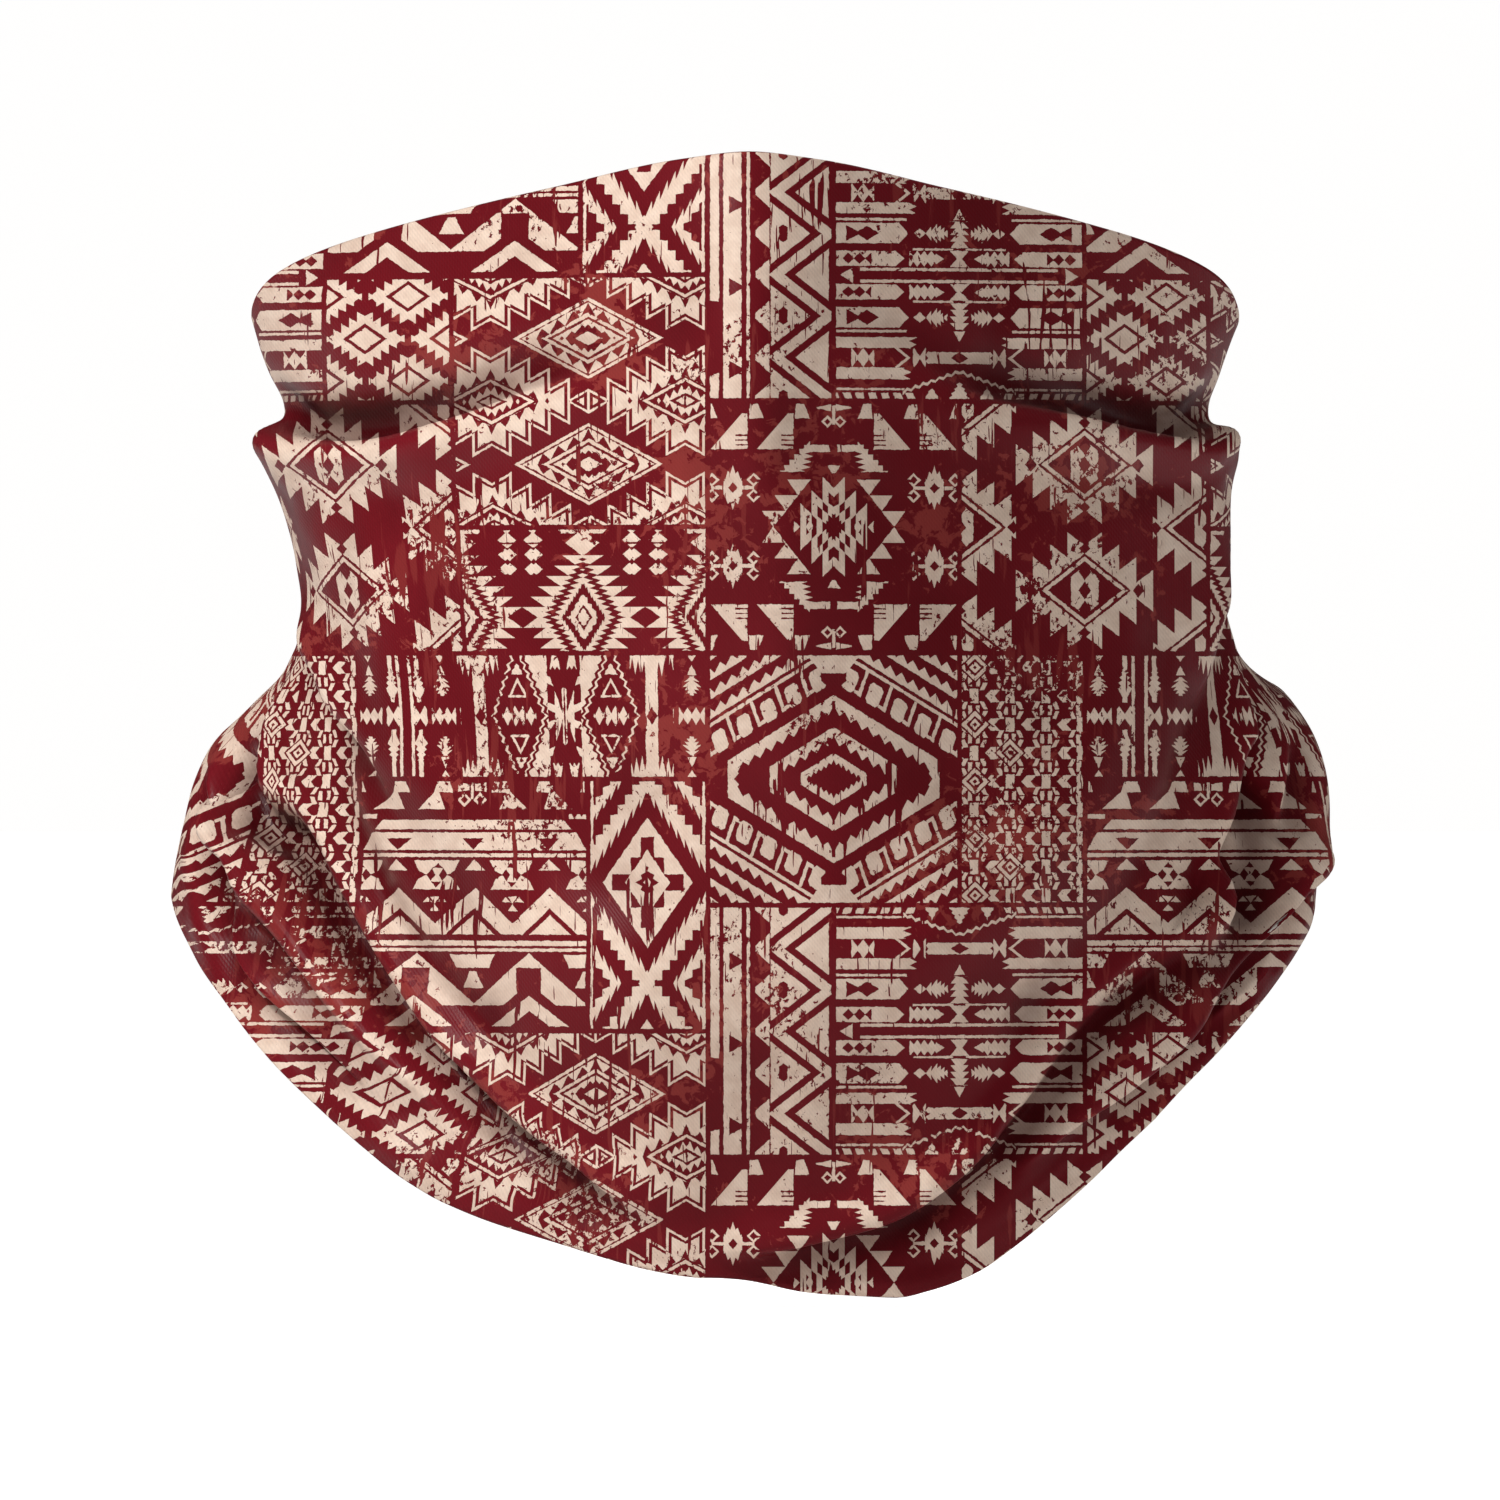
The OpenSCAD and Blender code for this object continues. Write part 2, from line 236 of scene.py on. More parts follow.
def densify(path, widths, n=90):
    """Even samples along a fold: position, direction, normal, and (w, lap, lift)."""
    lp = np.array(path, float)
    pts = base(lp[:, 0], lp[:, 1])
    s = np.concatenate([[0], np.cumsum(np.linalg.norm(np.diff(pts, axis=0), axis=1))])
    t = np.linspace(0, s[-1], n)
    lv = table(list(zip(s, lp[:, 0])), t) if len(s) > 2 else np.interp(t, s, lp[:, 0])
    ph = table(list(zip(s, lp[:, 1])), t) if len(s) > 2 else np.interp(t, s, lp[:, 1])
    # a short moving average keeps the path free of corners
    for _ in range(3):
        lv[1:-1] = (lv[:-2] + 2 * lv[1:-1] + lv[2:]) / 4
        ph[1:-1] = (ph[:-2] + 2 * ph[1:-1] + ph[2:]) / 4
    p = base(lv, ph)
    nn = normal(lv, ph)
    d = np.gradient(p, axis=0)
    d /= np.linalg.norm(d, axis=1, keepdims=True)
    share = t / s[-1]
    par = np.stack([table([(k[0], k[j]) for k in widths], share) for j in (1, 2, 3)], -1)
    return p, d, nn, par


def fold_field(points, path, widths, flip):
    """Signed distance to a fold (positive on its upper side) and the local frame and size of it."""
    p, d, nn, par = densify(path, widths)
    up = np.cross(nn, d)
    up /= np.linalg.norm(up, axis=1, keepdims=True)
    if flip:
        up = -up
    flat = points.reshape(-1, 3)
    best = np.full(len(flat), 1e9)
    idx = np.zeros(len(flat), int)
    for k in range(len(p)):
        dist = np.einsum("ij,ij->i", flat - p[k], flat - p[k])
        m = dist < best
        best[m], idx[m] = dist[m], k
    rel = flat - p[idx]
    along = np.einsum("ij,ij->i", rel, d[idx])
    # slide to the true foot of the perpendicular between samples
    step = np.linalg.norm(p[1] - p[0])
    f = np.clip(idx + along / step, 0, len(p) - 1.001)
    i0 = f.astype(int)
    t = (f - i0)[:, None]
    foot = p[i0] * (1 - t) + p[i0 + 1] * t
    upv = up[i0] * (1 - t) + up[i0 + 1] * t
    nv = nn[i0] * (1 - t) + nn[i0 + 1] * t
    pv = par[i0] * (1 - t) + par[i0 + 1] * t
    rel = flat - foot
    signed = np.einsum("ij,ij->i", rel, upv)
    off = np.sqrt(np.maximum(np.einsum("ij,ij->i", rel, rel) - signed ** 2, 0))   # past the ends
    return signed, off, upv, nv, pv


# Every fold: path, then (share of its length, half width mm, lap, lift mm). Lap above 1 folds the cloth
# back on itself; a positive lift puts the upper layer outside, a negative one the lower layer.
F = []
FOLDS = [
    # upper crease over the ears: the lower layer laps over the upper one
    dict(calm=0.72, path=locate([(-10, 156.5), (-21.5, 154.2), (-34.8, 150.8), (-48.7, 145.8), (-61.2, 142.6), (-70, 142.2),
                      (-76.5, 143.4)]) + around([(-90, 145.6), (-110, 143.5), (-135, 141), (-160, 139), (-178, 138.5)]),
         size=[(0, 4.0, 0.0, 0.0), (0.12, 3.6, 0.7, -0.6), (0.25, 2.8, 1.9, -1.5), (0.45, 2.4, 2.4, -2.0),
               (0.7, 2.8, 2.2, -1.7), (1, 3.0, 1.6, -1.2)]),
    dict(calm=0.72, path=locate([(10, 159), (20.2, 157.5), (30.5, 153.3), (36, 150), (44.3, 148.3), (52.7, 146.5), (61, 144.8),
                      (68, 143.4)]) + around([(76, 143.6), (90, 145), (110, 143), (135, 140), (160, 138.5), (178, 138.5)]),
         size=[(0, 4.2, 0.0, 0.0), (0.14, 3.6, 0.6, -0.5), (0.28, 2.8, 1.8, -1.4), (0.45, 2.4, 2.3, -1.9),
               (0.7, 2.8, 2.2, -1.7), (1, 3.0, 1.6, -1.2)]),
    # cheek crease, wearer's right
    dict(path=around([(-175, 124), (-135, 122), (-110, 119), (-92, 115.5)]) +
              locate([(-73.9, 110.7), (-71.8, 106), (-68.8, 100.2), (-66.7, 95.5), (-62.8, 90.3), (-59.8, 86), (-56, 80)]),
         size=[(0, 3.2, 1.2, 0.8), (0.4, 2.6, 1.7, 1.2), (0.72, 2.4, 1.7, 1.3), (0.88, 2.8, 0.9, 0.7), (1, 3.4, 0, 0)]),
    # faint cheek crease, wearer's left
    dict(path=around([(175, 124), (135, 122), (110, 119), (92, 115)]) +
              locate([(77.5, 109), (76.6, 103), (74, 96), (70, 88)]),
         size=[(0, 3.2, 1.2, 0.8), (0.4, 2.8, 1.3, 0.9), (0.75, 3.0, 0.8, 0.6), (1, 3.6, 0, 0)]),
    # main fold between face and collar, wearer's right, down to the throat
    dict(path=around([(-178, 114), (-150, 113), (-125, 110), (-105, 106), (-90, 101.4)]) +
              locate([(-77.9, 94), (-77.3, 88.7), (-74.3, 82.7), (-71.8, 76.3), (-68.3, 70), (-65, 63.2),
                      (-60.8, 56.3), (-56.5, 49.5), (-54, 46), (-45, 35.8), (-38.2, 29), (-29.7, 22.7),
                      (-23.8, 17.3), (-15.8, 13.3), (-10, 11.5)]),
         size=[(0, 3.0, 1.8, 1.2), (0.3, 2.6, 2.3, 1.6), (0.5, 2.4, 2.6, 1.9), (0.8, 2.4, 2.4, 1.7),
               (0.93, 2.8, 1.4, 1.0), (1, 3.4, 0, 0)]),
    # main fold, wearer's left, with the crease that runs on across the front
    dict(path=around([(178, 114), (150, 113), (125, 110), (105, 106), (90, 103)]) +
              locate([(81.3, 97.5), (80.3, 89), (79, 77.5), (75.7, 64.8), (66.8, 55.8), (58.5, 49), (51.8, 40.8),
                      (41.8, 28.5), (35.3, 21.2), (27.7, 15.2), (20, 11.6), (9.7, 8.8), (-0.7, 7), (-9, 6.5)]),
         size=[(0, 3.0, 1.8, 1.2), (0.3, 2.6, 2.2, 1.6), (0.48, 2.6, 2.2, 1.6), (0.66, 2.8, 1.6, 1.2),
               (0.8, 2.4, 2.0, 1.5), (0.93, 2.4, 1.6, 1.1), (1, 3, 0, 0)]),
    # second collar fold, wearer's right
    dict(path=around([(-178, 104), (-150, 103.5), (-125, 102), (-105, 99.5), (-92, 97)]) +
              locate([(-84, 88.7), (-84.3, 80.5), (-84.6, 73), (-83, 65.2), (-77, 58.2), (-71.7, 50.8),
                      (-65.2, 43.3), (-57.8, 36.6), (-50.3, 30), (-44, 24.5)]),
         size=[(0, 2.8, 1.7, 1.1), (0.35, 2.3, 2.1, 1.4), (0.55, 2.1, 2.4, 1.6), (0.8, 2.2, 1.9, 1.3),
               (0.92, 2.6, 1.0, 0.7), (1, 3, 0, 0)]),
    # second collar fold, wearer's left
    dict(path=around([(178, 104), (150, 103.5), (125, 102), (105, 100), (92, 98.5)]) +
              locate([(84.7, 90), (84.9, 80), (83.7, 70.8), (77.7, 57.8), (66.8, 45.5), (56.8, 35.5), (50, 29)]),
         size=[(0, 2.8, 1.7, 1.1), (0.35, 2.5, 1.7, 1.2), (0.6, 2.6, 1.5, 1.1), (0.85, 3.0, 0.8, 0.6), (1, 3.4, 0, 0)]),
    # third collar fold, wearer's right
    dict(path=around([(-178, 93), (-150, 92.5), (-125, 92), (-105, 91.5), (-92, 90)]) +
              locate([(-86.6, 83), (-87.0, 73.3), (-86, 64.5), (-84.4, 56.8), (-79.8, 50.6), (-74.8, 45.6),
                      (-70.5, 41.3), (-63.2, 34.8), (-57, 29.5)]),
         size=[(0, 2.8, 1.6, 1.0), (0.35, 2.3, 2.1, 1.4), (0.6, 2.1, 2.4, 1.6), (0.85, 2.3, 1.7, 1.2), (1, 3, 0, 0)]),
    # edge flap of the collar, wearer's left: starts at the outline, runs down to the front
    dict(path=around([(150, 80), (120, 77), (104, 74.5), (92, 71.8)]) +
              locate([(92.3, 68.0), (89.5, 65.0), (83.7, 59), (78, 51.5), (71.8, 42.5), (61.5, 33), (53.2, 27.2),
                      (46, 22.5), (40, 18)]),
         size=[(0, 3.0, 0, 0), (0.3, 2.6, 1.2, 0.9), (0.5, 2.3, 2.0, 1.4), (0.8, 2.4, 1.7, 1.2), (1, 3, 0, 0)]),
]
# Soft swells and hollows of the cloth: path seen from the front, half width and height in mm.
SWELLS = [
    (locate([(-80, 139), (-74, 137.5), (-64, 137), (-52, 139)]), 4.0, 1.0),
    (locate([(80, 139), (72, 138.5), (62, 139), (52, 141)]), 4.0, 0.9),
    (locate([(-79, 72), (-74, 62), (-66, 51), (-56, 40), (-46, 30)]), 2.6, 1.3),
    (locate([(81, 76), (79, 64), (72, 53), (62, 44), (52, 35)]), 3.2, 1.1),
    (locate([(-84.9, 74), (-82.3, 61), (-76, 52), (-68, 43), (-60, 35)]), 1.8, 0.8),
    (locate([(-93, 74), (-89, 60), (-80, 45), (-68, 33), (-52, 20)]), 4.0, 1.2),
    (locate([(92, 80), (87, 66), (78, 53), (66, 42)]), 4.0, 0.9),
    (locate([(-60, 116), (-56, 98), (-49, 82), (-36, 66), (-20, 54)]), 8.5, 2.3),
    (locate([(62, 112), (58, 94), (50, 78), (36, 64), (22, 54)]), 9.0, 1.7),
    (locate([(-71, 100), (-66, 80), (-57, 62), (-44, 46)]), 5.0, -1.9),
    (locate([(74, 98), (69, 80), (60, 64), (47, 48)]), 5.5, -1.6),
]


FOLD_SHADE = np.zeros(PP.shape)      # how deep in a fold each point lies, 0 to 1; it darkens the cloth's colour there as painted shade


def shaped(points, phi, lv):
    """The base surface with its swells, creases and folds."""
    nrm = normal(lv, phi)
    p = points.copy()
    for path, width, height in SWELLS:
        q, off, up, nn, par = fold_field(points, path, [(0, 1, 0, 0), (1, 1, 0, 0)], False)
        g = np.exp(-(q / width) ** 2 - (off / (1.3 * width)) ** 2).reshape(phi.shape)
        p += nrm * (g * height)[..., None]
    shift = np.zeros((phi.size, 3))
    for f in FOLDS:
        path = f["path"]
        flip = path[0][1] > path[-1][1]
        size = f["size"]
        q, off, up, nn, par = fold_field(points, path, size, flip)
        away = np.abs(phi.ravel()) - 92
        side = np.exp(-(away / np.where(away < 0, 9, 20)) ** 2)      # the outline stays calm
        w, lap, lift = par[:, 0], par[:, 1] * (1 - 0.6 * side), par[:, 2] * (1 - f.get("calm", 0.95) * side)
        x = q / w
        fade = np.exp(-(off / (1.5 * w)) ** 2)
        shift += up * (-0.6 * lap * w * x * np.exp(-x * x) * fade)[:, None]
        s = np.where(lift >= 0, 1.0, -1.0)
        a = np.abs(lift)
        xo = x * s                                   # positive on the layer that lies outside
        rise = 2.1 * a * np.tanh(1.9 * xo) * np.exp(-(xo / 2.5) ** 2)
        crest = 0.9 * a * np.exp(-((xo - 1.3) / 0.9) ** 2)
        valley = -1.5 * a * np.exp(-((xo + 1.5) / 1.3) ** 2)
        shift += nn * ((rise + crest + valley) * fade)[:, None]
        # the fold depth that later darkens the colour as painted shade under each fold edge
        FOLD_SHADE[...] = np.maximum(FOLD_SHADE, ((np.minimum(a, 1.6) / 1.6) * np.exp(-((xo + 0.9) / 1.15) ** 2) * fade).reshape(phi.shape))
    p += shift.reshape(p.shape)
    return p


def relax(p, weight, steps):
    """A few rounds of grid smoothing, weighted per point; the border rows stay."""
    for _ in range(steps):
        q = p.copy()
        q[1:-1, 1:-1] = (p[:-2, 1:-1] + p[2:, 1:-1] + p[1:-1, :-2] + p[1:-1, 2:]) / 4
        p = p + (q - p) * weight[..., None]
    return p


def settle():
    """Cloth simulation of the worn tube on a coarse cage. It is a little larger than the space it is given,
    held at both rims, so it buckles into soft ripples. Returns the ripple height on the fine grid, in mm."""
    cols = np.linspace(-180, 180, 151)[:-1]
    rows = np.linspace(-1, 1, 47)
    cp, cl = np.meshgrid(cols, rows)
    start = base(cl, cp)
    nrm = normal(cl, cp)
    seed = start + nrm * (0.25 * wave_noise(start, 5, 26))[..., None]
    seed[0], seed[-1] = start[0], start[-1]
    me = bpy.data.meshes.new("cage")
    R, C = cp.shape
    idx = np.arange(R * C).reshape(R, C)
    a, b = idx[:-1], np.roll(idx, -1, 1)[:-1]
    c, d = np.roll(idx, -1, 1)[1:], idx[1:]
    me.from_pydata((seed / 1000).reshape(-1, 3).tolist(), [], np.stack([a, b, c, d], -1).reshape(-1, 4).tolist())
    cage = bpy.data.objects.new("cage", me)
    scene = bpy.context.scene
    scene.collection.objects.link(cage)
    group = cage.vertex_groups.new(name="held")
    group.add(idx[0].tolist() + idx[-1].tolist(), 1.0, "REPLACE")
    mod = cage.modifiers.new("cloth", "CLOTH")
    st = mod.settings
    st.quality = 5
    st.mass = 0.0004
    st.tension_stiffness = st.compression_stiffness = 6
    st.shear_stiffness = 3
    st.bending_stiffness = 0.02
    st.air_damping = 3
    st.vertex_group_mass = "held"
    st.shrink_min = -0.035
    st.effector_weights.gravity = 0.02
    mod.collision_settings.use_collision = False
    mod.point_cache.frame_start, mod.point_cache.frame_end = 1, 22
    for f in range(1, 23):
        scene.frame_set(f)
        if f < 22:
            bpy.context.view_layer.update()
    got = cage.evaluated_get(bpy.context.evaluated_depsgraph_get())
    co = np.empty(R * C * 3, np.float32)
    got.data.vertices.foreach_get("co", co)
    move = co.reshape(R, C, 3).astype(float) * 1000 - start
    bpy.data.objects.remove(cage)
    bpy.data.meshes.remove(me)
    scene.frame_set(1)
    h = np.einsum("ijk,ijk->ij", move, nrm)
    h = np.nan_to_num(h)
    print("settle: ripple height mm", h.min(), h.max(), h.std())
    # keep the ripples, not the overall change of shape
    slow = h.copy()
    for _ in range(60):
        pad = np.pad(slow, ((1, 1), (0, 0)), mode="edge")
        slow = (pad[:-2] + pad[2:] + np.roll(slow, 1, 1) + np.roll(slow, -1, 1)) / 4
    h = h - slow
    for _ in range(2):
        pad = np.pad(h, ((1, 1), (0, 0)), mode="edge")
        h = (pad[:-2] + pad[2:] + np.roll(h, 1, 1) + np.roll(h, -1, 1) + 2 * h) / 6
    print("settle: kept", h.std())
    h = h / max(h.std(), 1e-6) * 0.55
    h = 1.5 * np.tanh(h / 1.5)
    # bilinear to the fine grid
    fc = (PP + 180) / 360 * len(cols)
    fr_ = (LL + 1) / 2 * (len(rows) - 1)
    i = np.clip(fr_.astype(int), 0, len(rows) - 2)
    j = fc.astype(int)
    u, v = fr_ - i, fc - j
    j0, j1 = j % len(cols), (j + 1) % len(cols)
    return ((h[i, j0] * (1 - u) + h[i + 1, j0] * u) * (1 - v) + (h[i, j1] * (1 - u) + h[i + 1, j1] * u) * v)


BASE = base(LL, PP)
RIPPLE = settle()
OUT = shaped(BASE, PP, LL)
# slow unevenness of hand-worn cloth, none at the two edges
edge_free = np.minimum(smooth(LL, -1, -0.8), 1 - smooth(LL, 0.9, 1))
NRM0 = normal(LL, PP)
outline_calm = 1 - 0.9 * np.exp(-((np.abs(PP) - 90) / 13) ** 2)
OUT += NRM0 * (RIPPLE * edge_free * outline_calm)[..., None]
OUT += NRM0 * ((0.45 * wave_noise(BASE, 11, 46) + 0.22 * wave_noise(BASE, 12, 19)) * edge_free)[..., None]
OUT = relax(OUT, np.full(PP.shape, 0.5), 2)
calm = 0.85 * np.exp(-((np.abs(PP) - 91) / np.where(np.abs(PP) < 91, 6, 14)) ** 2) * (1 - np.exp(-((LL - 0.72) / 0.12) ** 2))
OUT = relax(OUT, calm, 14)


def blur(a, steps):
    for _ in range(steps):
        q = np.pad(a, ((1, 1), (1, 1), (0, 0)), mode="edge")
        a = (q[:-2, 1:-1] + q[2:, 1:-1] + q[1:-1, :-2] + q[1:-1, 2:] + 4 * a) / 8
    return a


# how far each point lies below (above, if negative) the cloth around it: hollows get painted shade and ridges a painted
# highlight
_move = OUT - BASE
_near = np.einsum("ijk,ijk->ij", blur(_move, 30) - _move, NRM0)
_wide = np.einsum("ijk,ijk->ij", blur(_move, 170) - _move, NRM0)
_low = np.clip(0.30 * _near + 0.26 * _wide - 0.08, -0.8, 1.1)
print("settle: hollows", np.percentile(_near, [1, 10, 50, 90, 99]).round(2), np.percentile(_wide, [1, 10, 50, 90, 99]).round(2))
# painted shade in the hollows and fold cavities, painted highlight on the ridges
RELIEF_SHADING = np.clip(_low * (1 - FOLD_SHADE) + FOLD_SHADE * np.maximum(_low, 0.8), -0.8, 1)


def grid_normals(p):
    a = np.gradient(p, axis=1)
    b = np.gradient(p, axis=0)
    n = np.cross(a, b)
    return n / np.maximum(np.linalg.norm(n, axis=-1, keepdims=True), 1e-9)


# print coordinates: flat from the front, turning to run with the cloth round the sides
FINE = np.linspace(0, 180, 1441)


def print_u(phi, lv):
    """Extra horizontal print travel beyond the plain front projection, in mm, signed like phi."""
    rows = []
    for row in lv[:, 0]:
        c = base(np.full_like(FINE, row), FINE)
        d = np.linalg.norm(np.diff(c, axis=0), axis=1)
        rate = 0.3 + 0.7 * smooth(FINE[1:], 80, 104)
        adv = np.maximum(np.abs(np.diff(c[:, 0])) * (FINE[1:] < 90), rate * d)
        rows.append(np.concatenate([[0], np.cumsum(adv)]))
    total = np.zeros(phi.shape)
    for i, cum in enumerate(rows):
        total[i] = np.interp(np.abs(phi[i]), FINE, cum)
    return np.sign(phi) * total


FLAT = print_u(PP, LL)
EXTRA = FLAT - np.where(np.abs(PP) < 90, BASE[..., 0], 0)
U_MM = np.where(np.abs(PP) < 90, OUT[..., 0], 0) + EXTRA
# print height: plain from the front; behind the ears it runs with the cloth, through the folds
_run = np.concatenate([np.zeros((1, PP.shape[1])),
                       np.cumsum(np.linalg.norm(np.diff(OUT[::-1], axis=0), axis=-1), axis=0)])[::-1]
_behind = smooth(np.abs(PP), 88, 165)
V_MM = OUT[..., 2] * (1 - _behind) + (OUT[-1:, :, 2] - _run) * _behind


def build_cloth(name, r0, r1, roll_low, roll_high):
    """One zone of the cloth as a closed sheet of CLOTH thickness between grid rows r0 and r1."""
    p = OUT[r0:r1 + 1].copy()
    n = grid_normals(OUT)[r0:r1 + 1]
    # w carries the painted shade and highlight measure into the print attribute
    u, v, w = U_MM[r0:r1 + 1], V_MM[r0:r1 + 1], RELIEF_SHADING[r0:r1 + 1]

    def roll(edge, nrm, outward):
        """Half-round turn of the edge to the inside, then down behind it."""
        radius = 0.78
        out = []
        for k, ang in enumerate((36, 72, 108, 144, 180)):
            a = math.radians(ang)
            out.append((edge - nrm * radius * (1 - math.cos(a)) + outward * radius * math.sin(a), ang))
        for down in (0.5, 1.1):
            out.append((edge - nrm * 2 * radius - outward * down, 180))
        return out

    def edge_dir(a, b, nrm):
        d = a - b
        d -= nrm * np.einsum("ij,ij->i", d, nrm)[:, None]
        return d / np.linalg.norm(d, axis=1, keepdims=True)

    rows_p, rows_n, rows_u, rows_v, rows_w = list(p), list(n), list(u), list(v), list(w)
    if roll_high:
        d = edge_dir(p[-1], p[-3], n[-1])
        for q, ang in roll(p[-1], n[-1], d):
            a = math.radians(ang)
            rows_p.append(q)
            rows_n.append(n[-1] * math.cos(a) + d * math.sin(a))
            rows_u.append(u[-1])
            rows_v.append(v[-1] + 0.78 * a)
            rows_w.append(w[-1])
    if roll_low:
        d = edge_dir(p[0], p[2], n[0])
        low = []
        for q, ang in roll(p[0], n[0], d):
            a = math.radians(ang)
            low.append((q, n[0] * math.cos(a) + d * math.sin(a), u[0], v[0] - 0.78 * a))
        for q, m, uu, vv in low:
            rows_p.insert(0, q)
            rows_n.insert(0, m)
            rows_u.insert(0, uu)
            rows_v.insert(0, vv)
            rows_w.insert(0, w[0])
    P, N = np.array(rows_p), np.array(rows_n)
    return sheet(name, P, N, np.array(rows_u), np.array(rows_v), CLOTH, np.array(rows_w))


def sheet(name, P, N, U, V, thick, W=None):
    """Closed sheet: the outer grid, an inner grid set in along the normals, and walls on all four sides."""
    R, C = P.shape[:2]
    inner = P - N * thick
    co = np.concatenate([P.reshape(-1, 3), inner.reshape(-1, 3)])
    idx = np.arange(R * C).reshape(R, C)
    a, b, c, d = idx[:-1, :-1], idx[:-1, 1:], idx[1:, 1:], idx[1:, :-1]
    outer = np.stack([a, b, c, d], -1).reshape(-1, 4)
    inn = np.stack([d, c, b, a], -1).reshape(-1, 4) + R * C
    walls = []
    o, i = idx, idx + R * C
    walls.append(np.stack([o[0, 1:], o[0, :-1], i[0, :-1], i[0, 1:]], -1))
    walls.append(np.stack([o[-1, :-1], o[-1, 1:], i[-1, 1:], i[-1, :-1]], -1))
    walls.append(np.stack([o[:-1, 0], o[1:, 0], i[1:, 0], i[:-1, 0]], -1))
    walls.append(np.stack([o[1:, -1], o[:-1, -1], i[:-1, -1], i[1:, -1]], -1))
    wall = np.concatenate([w.reshape(-1, 4) for w in walls])
    faces = np.concatenate([outer, inn, wall])
    me = bpy.data.meshes.new(name)
    me.vertices.add(len(co))
    me.vertices.foreach_set("co", to_frame(co).astype(np.float32).ravel())
    me.loops.add(faces.size)
    me.loops.foreach_set("vertex_index", faces.astype(np.int32).ravel())
    me.polygons.add(len(faces))
    me.polygons.foreach_set("loop_start", (np.arange(len(faces)) * 4).astype(np.int32))
    me.polygons.foreach_set("loop_total", np.full(len(faces), 4, np.int32))
    kind = np.concatenate([np.zeros(len(outer)), np.ones(len(inn)), np.ones(len(wall))]).astype(np.int32)
    me.polygons.foreach_set("material_index", kind)
    me.polygons.foreach_set("use_smooth", np.ones(len(faces), bool))
    me.update(calc_edges=True)
    uv = np.stack([U.ravel(), V.ravel(), np.zeros(U.size) if W is None else W.ravel()], -1)
    uv = np.concatenate([uv, uv])
    at = me.attributes.new("print_mm", "FLOAT_VECTOR", "POINT")
    at.data.foreach_set("vector", uv.astype(np.float32).ravel())
    nn = np.concatenate([N.reshape(-1, 3), -N.reshape(-1, 3)])
    me.validate(verbose=False)
    # walls keep their own flat normals; the two sides take the whole cloth's normals
    loops = nn[faces.ravel()]
    wall_start = (len(outer) + len(inn)) * 4
    fc = co[wall.ravel()].reshape(-1, 4, 3)
    wn = np.cross(fc[:, 2] - fc[:, 0], fc[:, 3] - fc[:, 1])
    wn /= np.maximum(np.linalg.norm(wn, axis=1, keepdims=True), 1e-9)
    loops[wall_start:] = np.repeat(wn, 4, axis=0)
    me.normals_split_custom_set(loops.astype(np.float32).tolist())
    ob = bpy.data.objects.new(name, me)
    bpy.context.scene.collection.objects.link(ob)
    return ob


r_low = int(np.argmin(np.abs(LV - LV_NECK_LOW)))
r_high = int(np.argmin(np.abs(LV - LV_NECK_HIGH)))
drape = build_cloth("drape_cloth", 0, r_low, True, False)
neck = build_cloth("neck_cloth", r_low, r_high, False, False)
face = build_cloth("face_cloth", r_high, len(LV) - 1, False, True)
# ------------------------------------------------------------------ pattern language
# The print is drafted as formulas on a 6 x 6 cell repeat. Each formula is negative where the cream ink is.
class Ex:
    """One arithmetic step; equal steps are shared."""
    pool = {}

    def __new__(cls, op, *args):
        args = tuple(a if isinstance(a, Ex) else float(a) for a in args)
        key = (op,) + tuple(id(a) if isinstance(a, Ex) else a for a in args)
        if key not in cls.pool:
            self = super().__new__(cls)
            self.op, self.args = op, args
            cls.pool[key] = self
        return cls.pool[key]

    def __add__(self, o): return Ex("ADD", self, o)
    def __radd__(self, o): return Ex("ADD", self, o)
    def __sub__(self, o): return Ex("SUBTRACT", self, o)
    def __rsub__(self, o): return Ex("SUBTRACT", o, self)
    def __mul__(self, o): return Ex("MULTIPLY", self, o)
    def __rmul__(self, o): return Ex("MULTIPLY", self, o)
    def __truediv__(self, o): return Ex("DIVIDE", self, o)
    def __neg__(self): return Ex("MULTIPLY", self, -1)


def mad(a, b, c): return Ex("MULTIPLY_ADD", a, b, c)
def ab(a): return Ex("ABSOLUTE", a)
def fl(a): return Ex("FLOOR", a)
def fr(a): return Ex("FRACT", a)
def pp(a, b): return Ex("PINGPONG", a, b)
def mod(a, b): return Ex("FLOORED_MODULO", a, b)
def gt(a, b): return Ex("GREATER_THAN", a, b)


def mn(*a):
    out = a[0]
    for b in a[1:]:
        out = Ex("MINIMUM", out, b)
    return out


def mx(*a):
    out = a[0]
    for b in a[1:]:
        out = Ex("MAXIMUM", out, b)
    return out


def cut(f, g):
    """f with the shape g taken out."""
    return mx(f, -g)


def band(a, c, h):
    """Strip of half width h about a = c."""
    return ab(a - c) - h


def within(a, lo, hi):
    return band(a, (lo + hi) / 2, (hi - lo) / 2)


def dia(u, v, a, b):
    """Diamond measure: 1 on the outline with half axes a and b."""
    return mad(u, 1 / a, v * (1 / b))


def toothed(u, pitch, tip, drop, rise):
    """Height of a serrated outline at u: teeth with upright outer edges."""
    i = fl(u / pitch)
    s = u / pitch - i
    return mad(i, -drop, mad(s, rise, tip - rise))


def other_centre(u, v, hu, hv, at):
    """Fold a staggered lattice, whose second centre is at (hu, hv), onto one centre."""
    s = gt(at, 0)
    return ab(mad(s, -hu, u)), ab(mad(s, -hv, v)), s


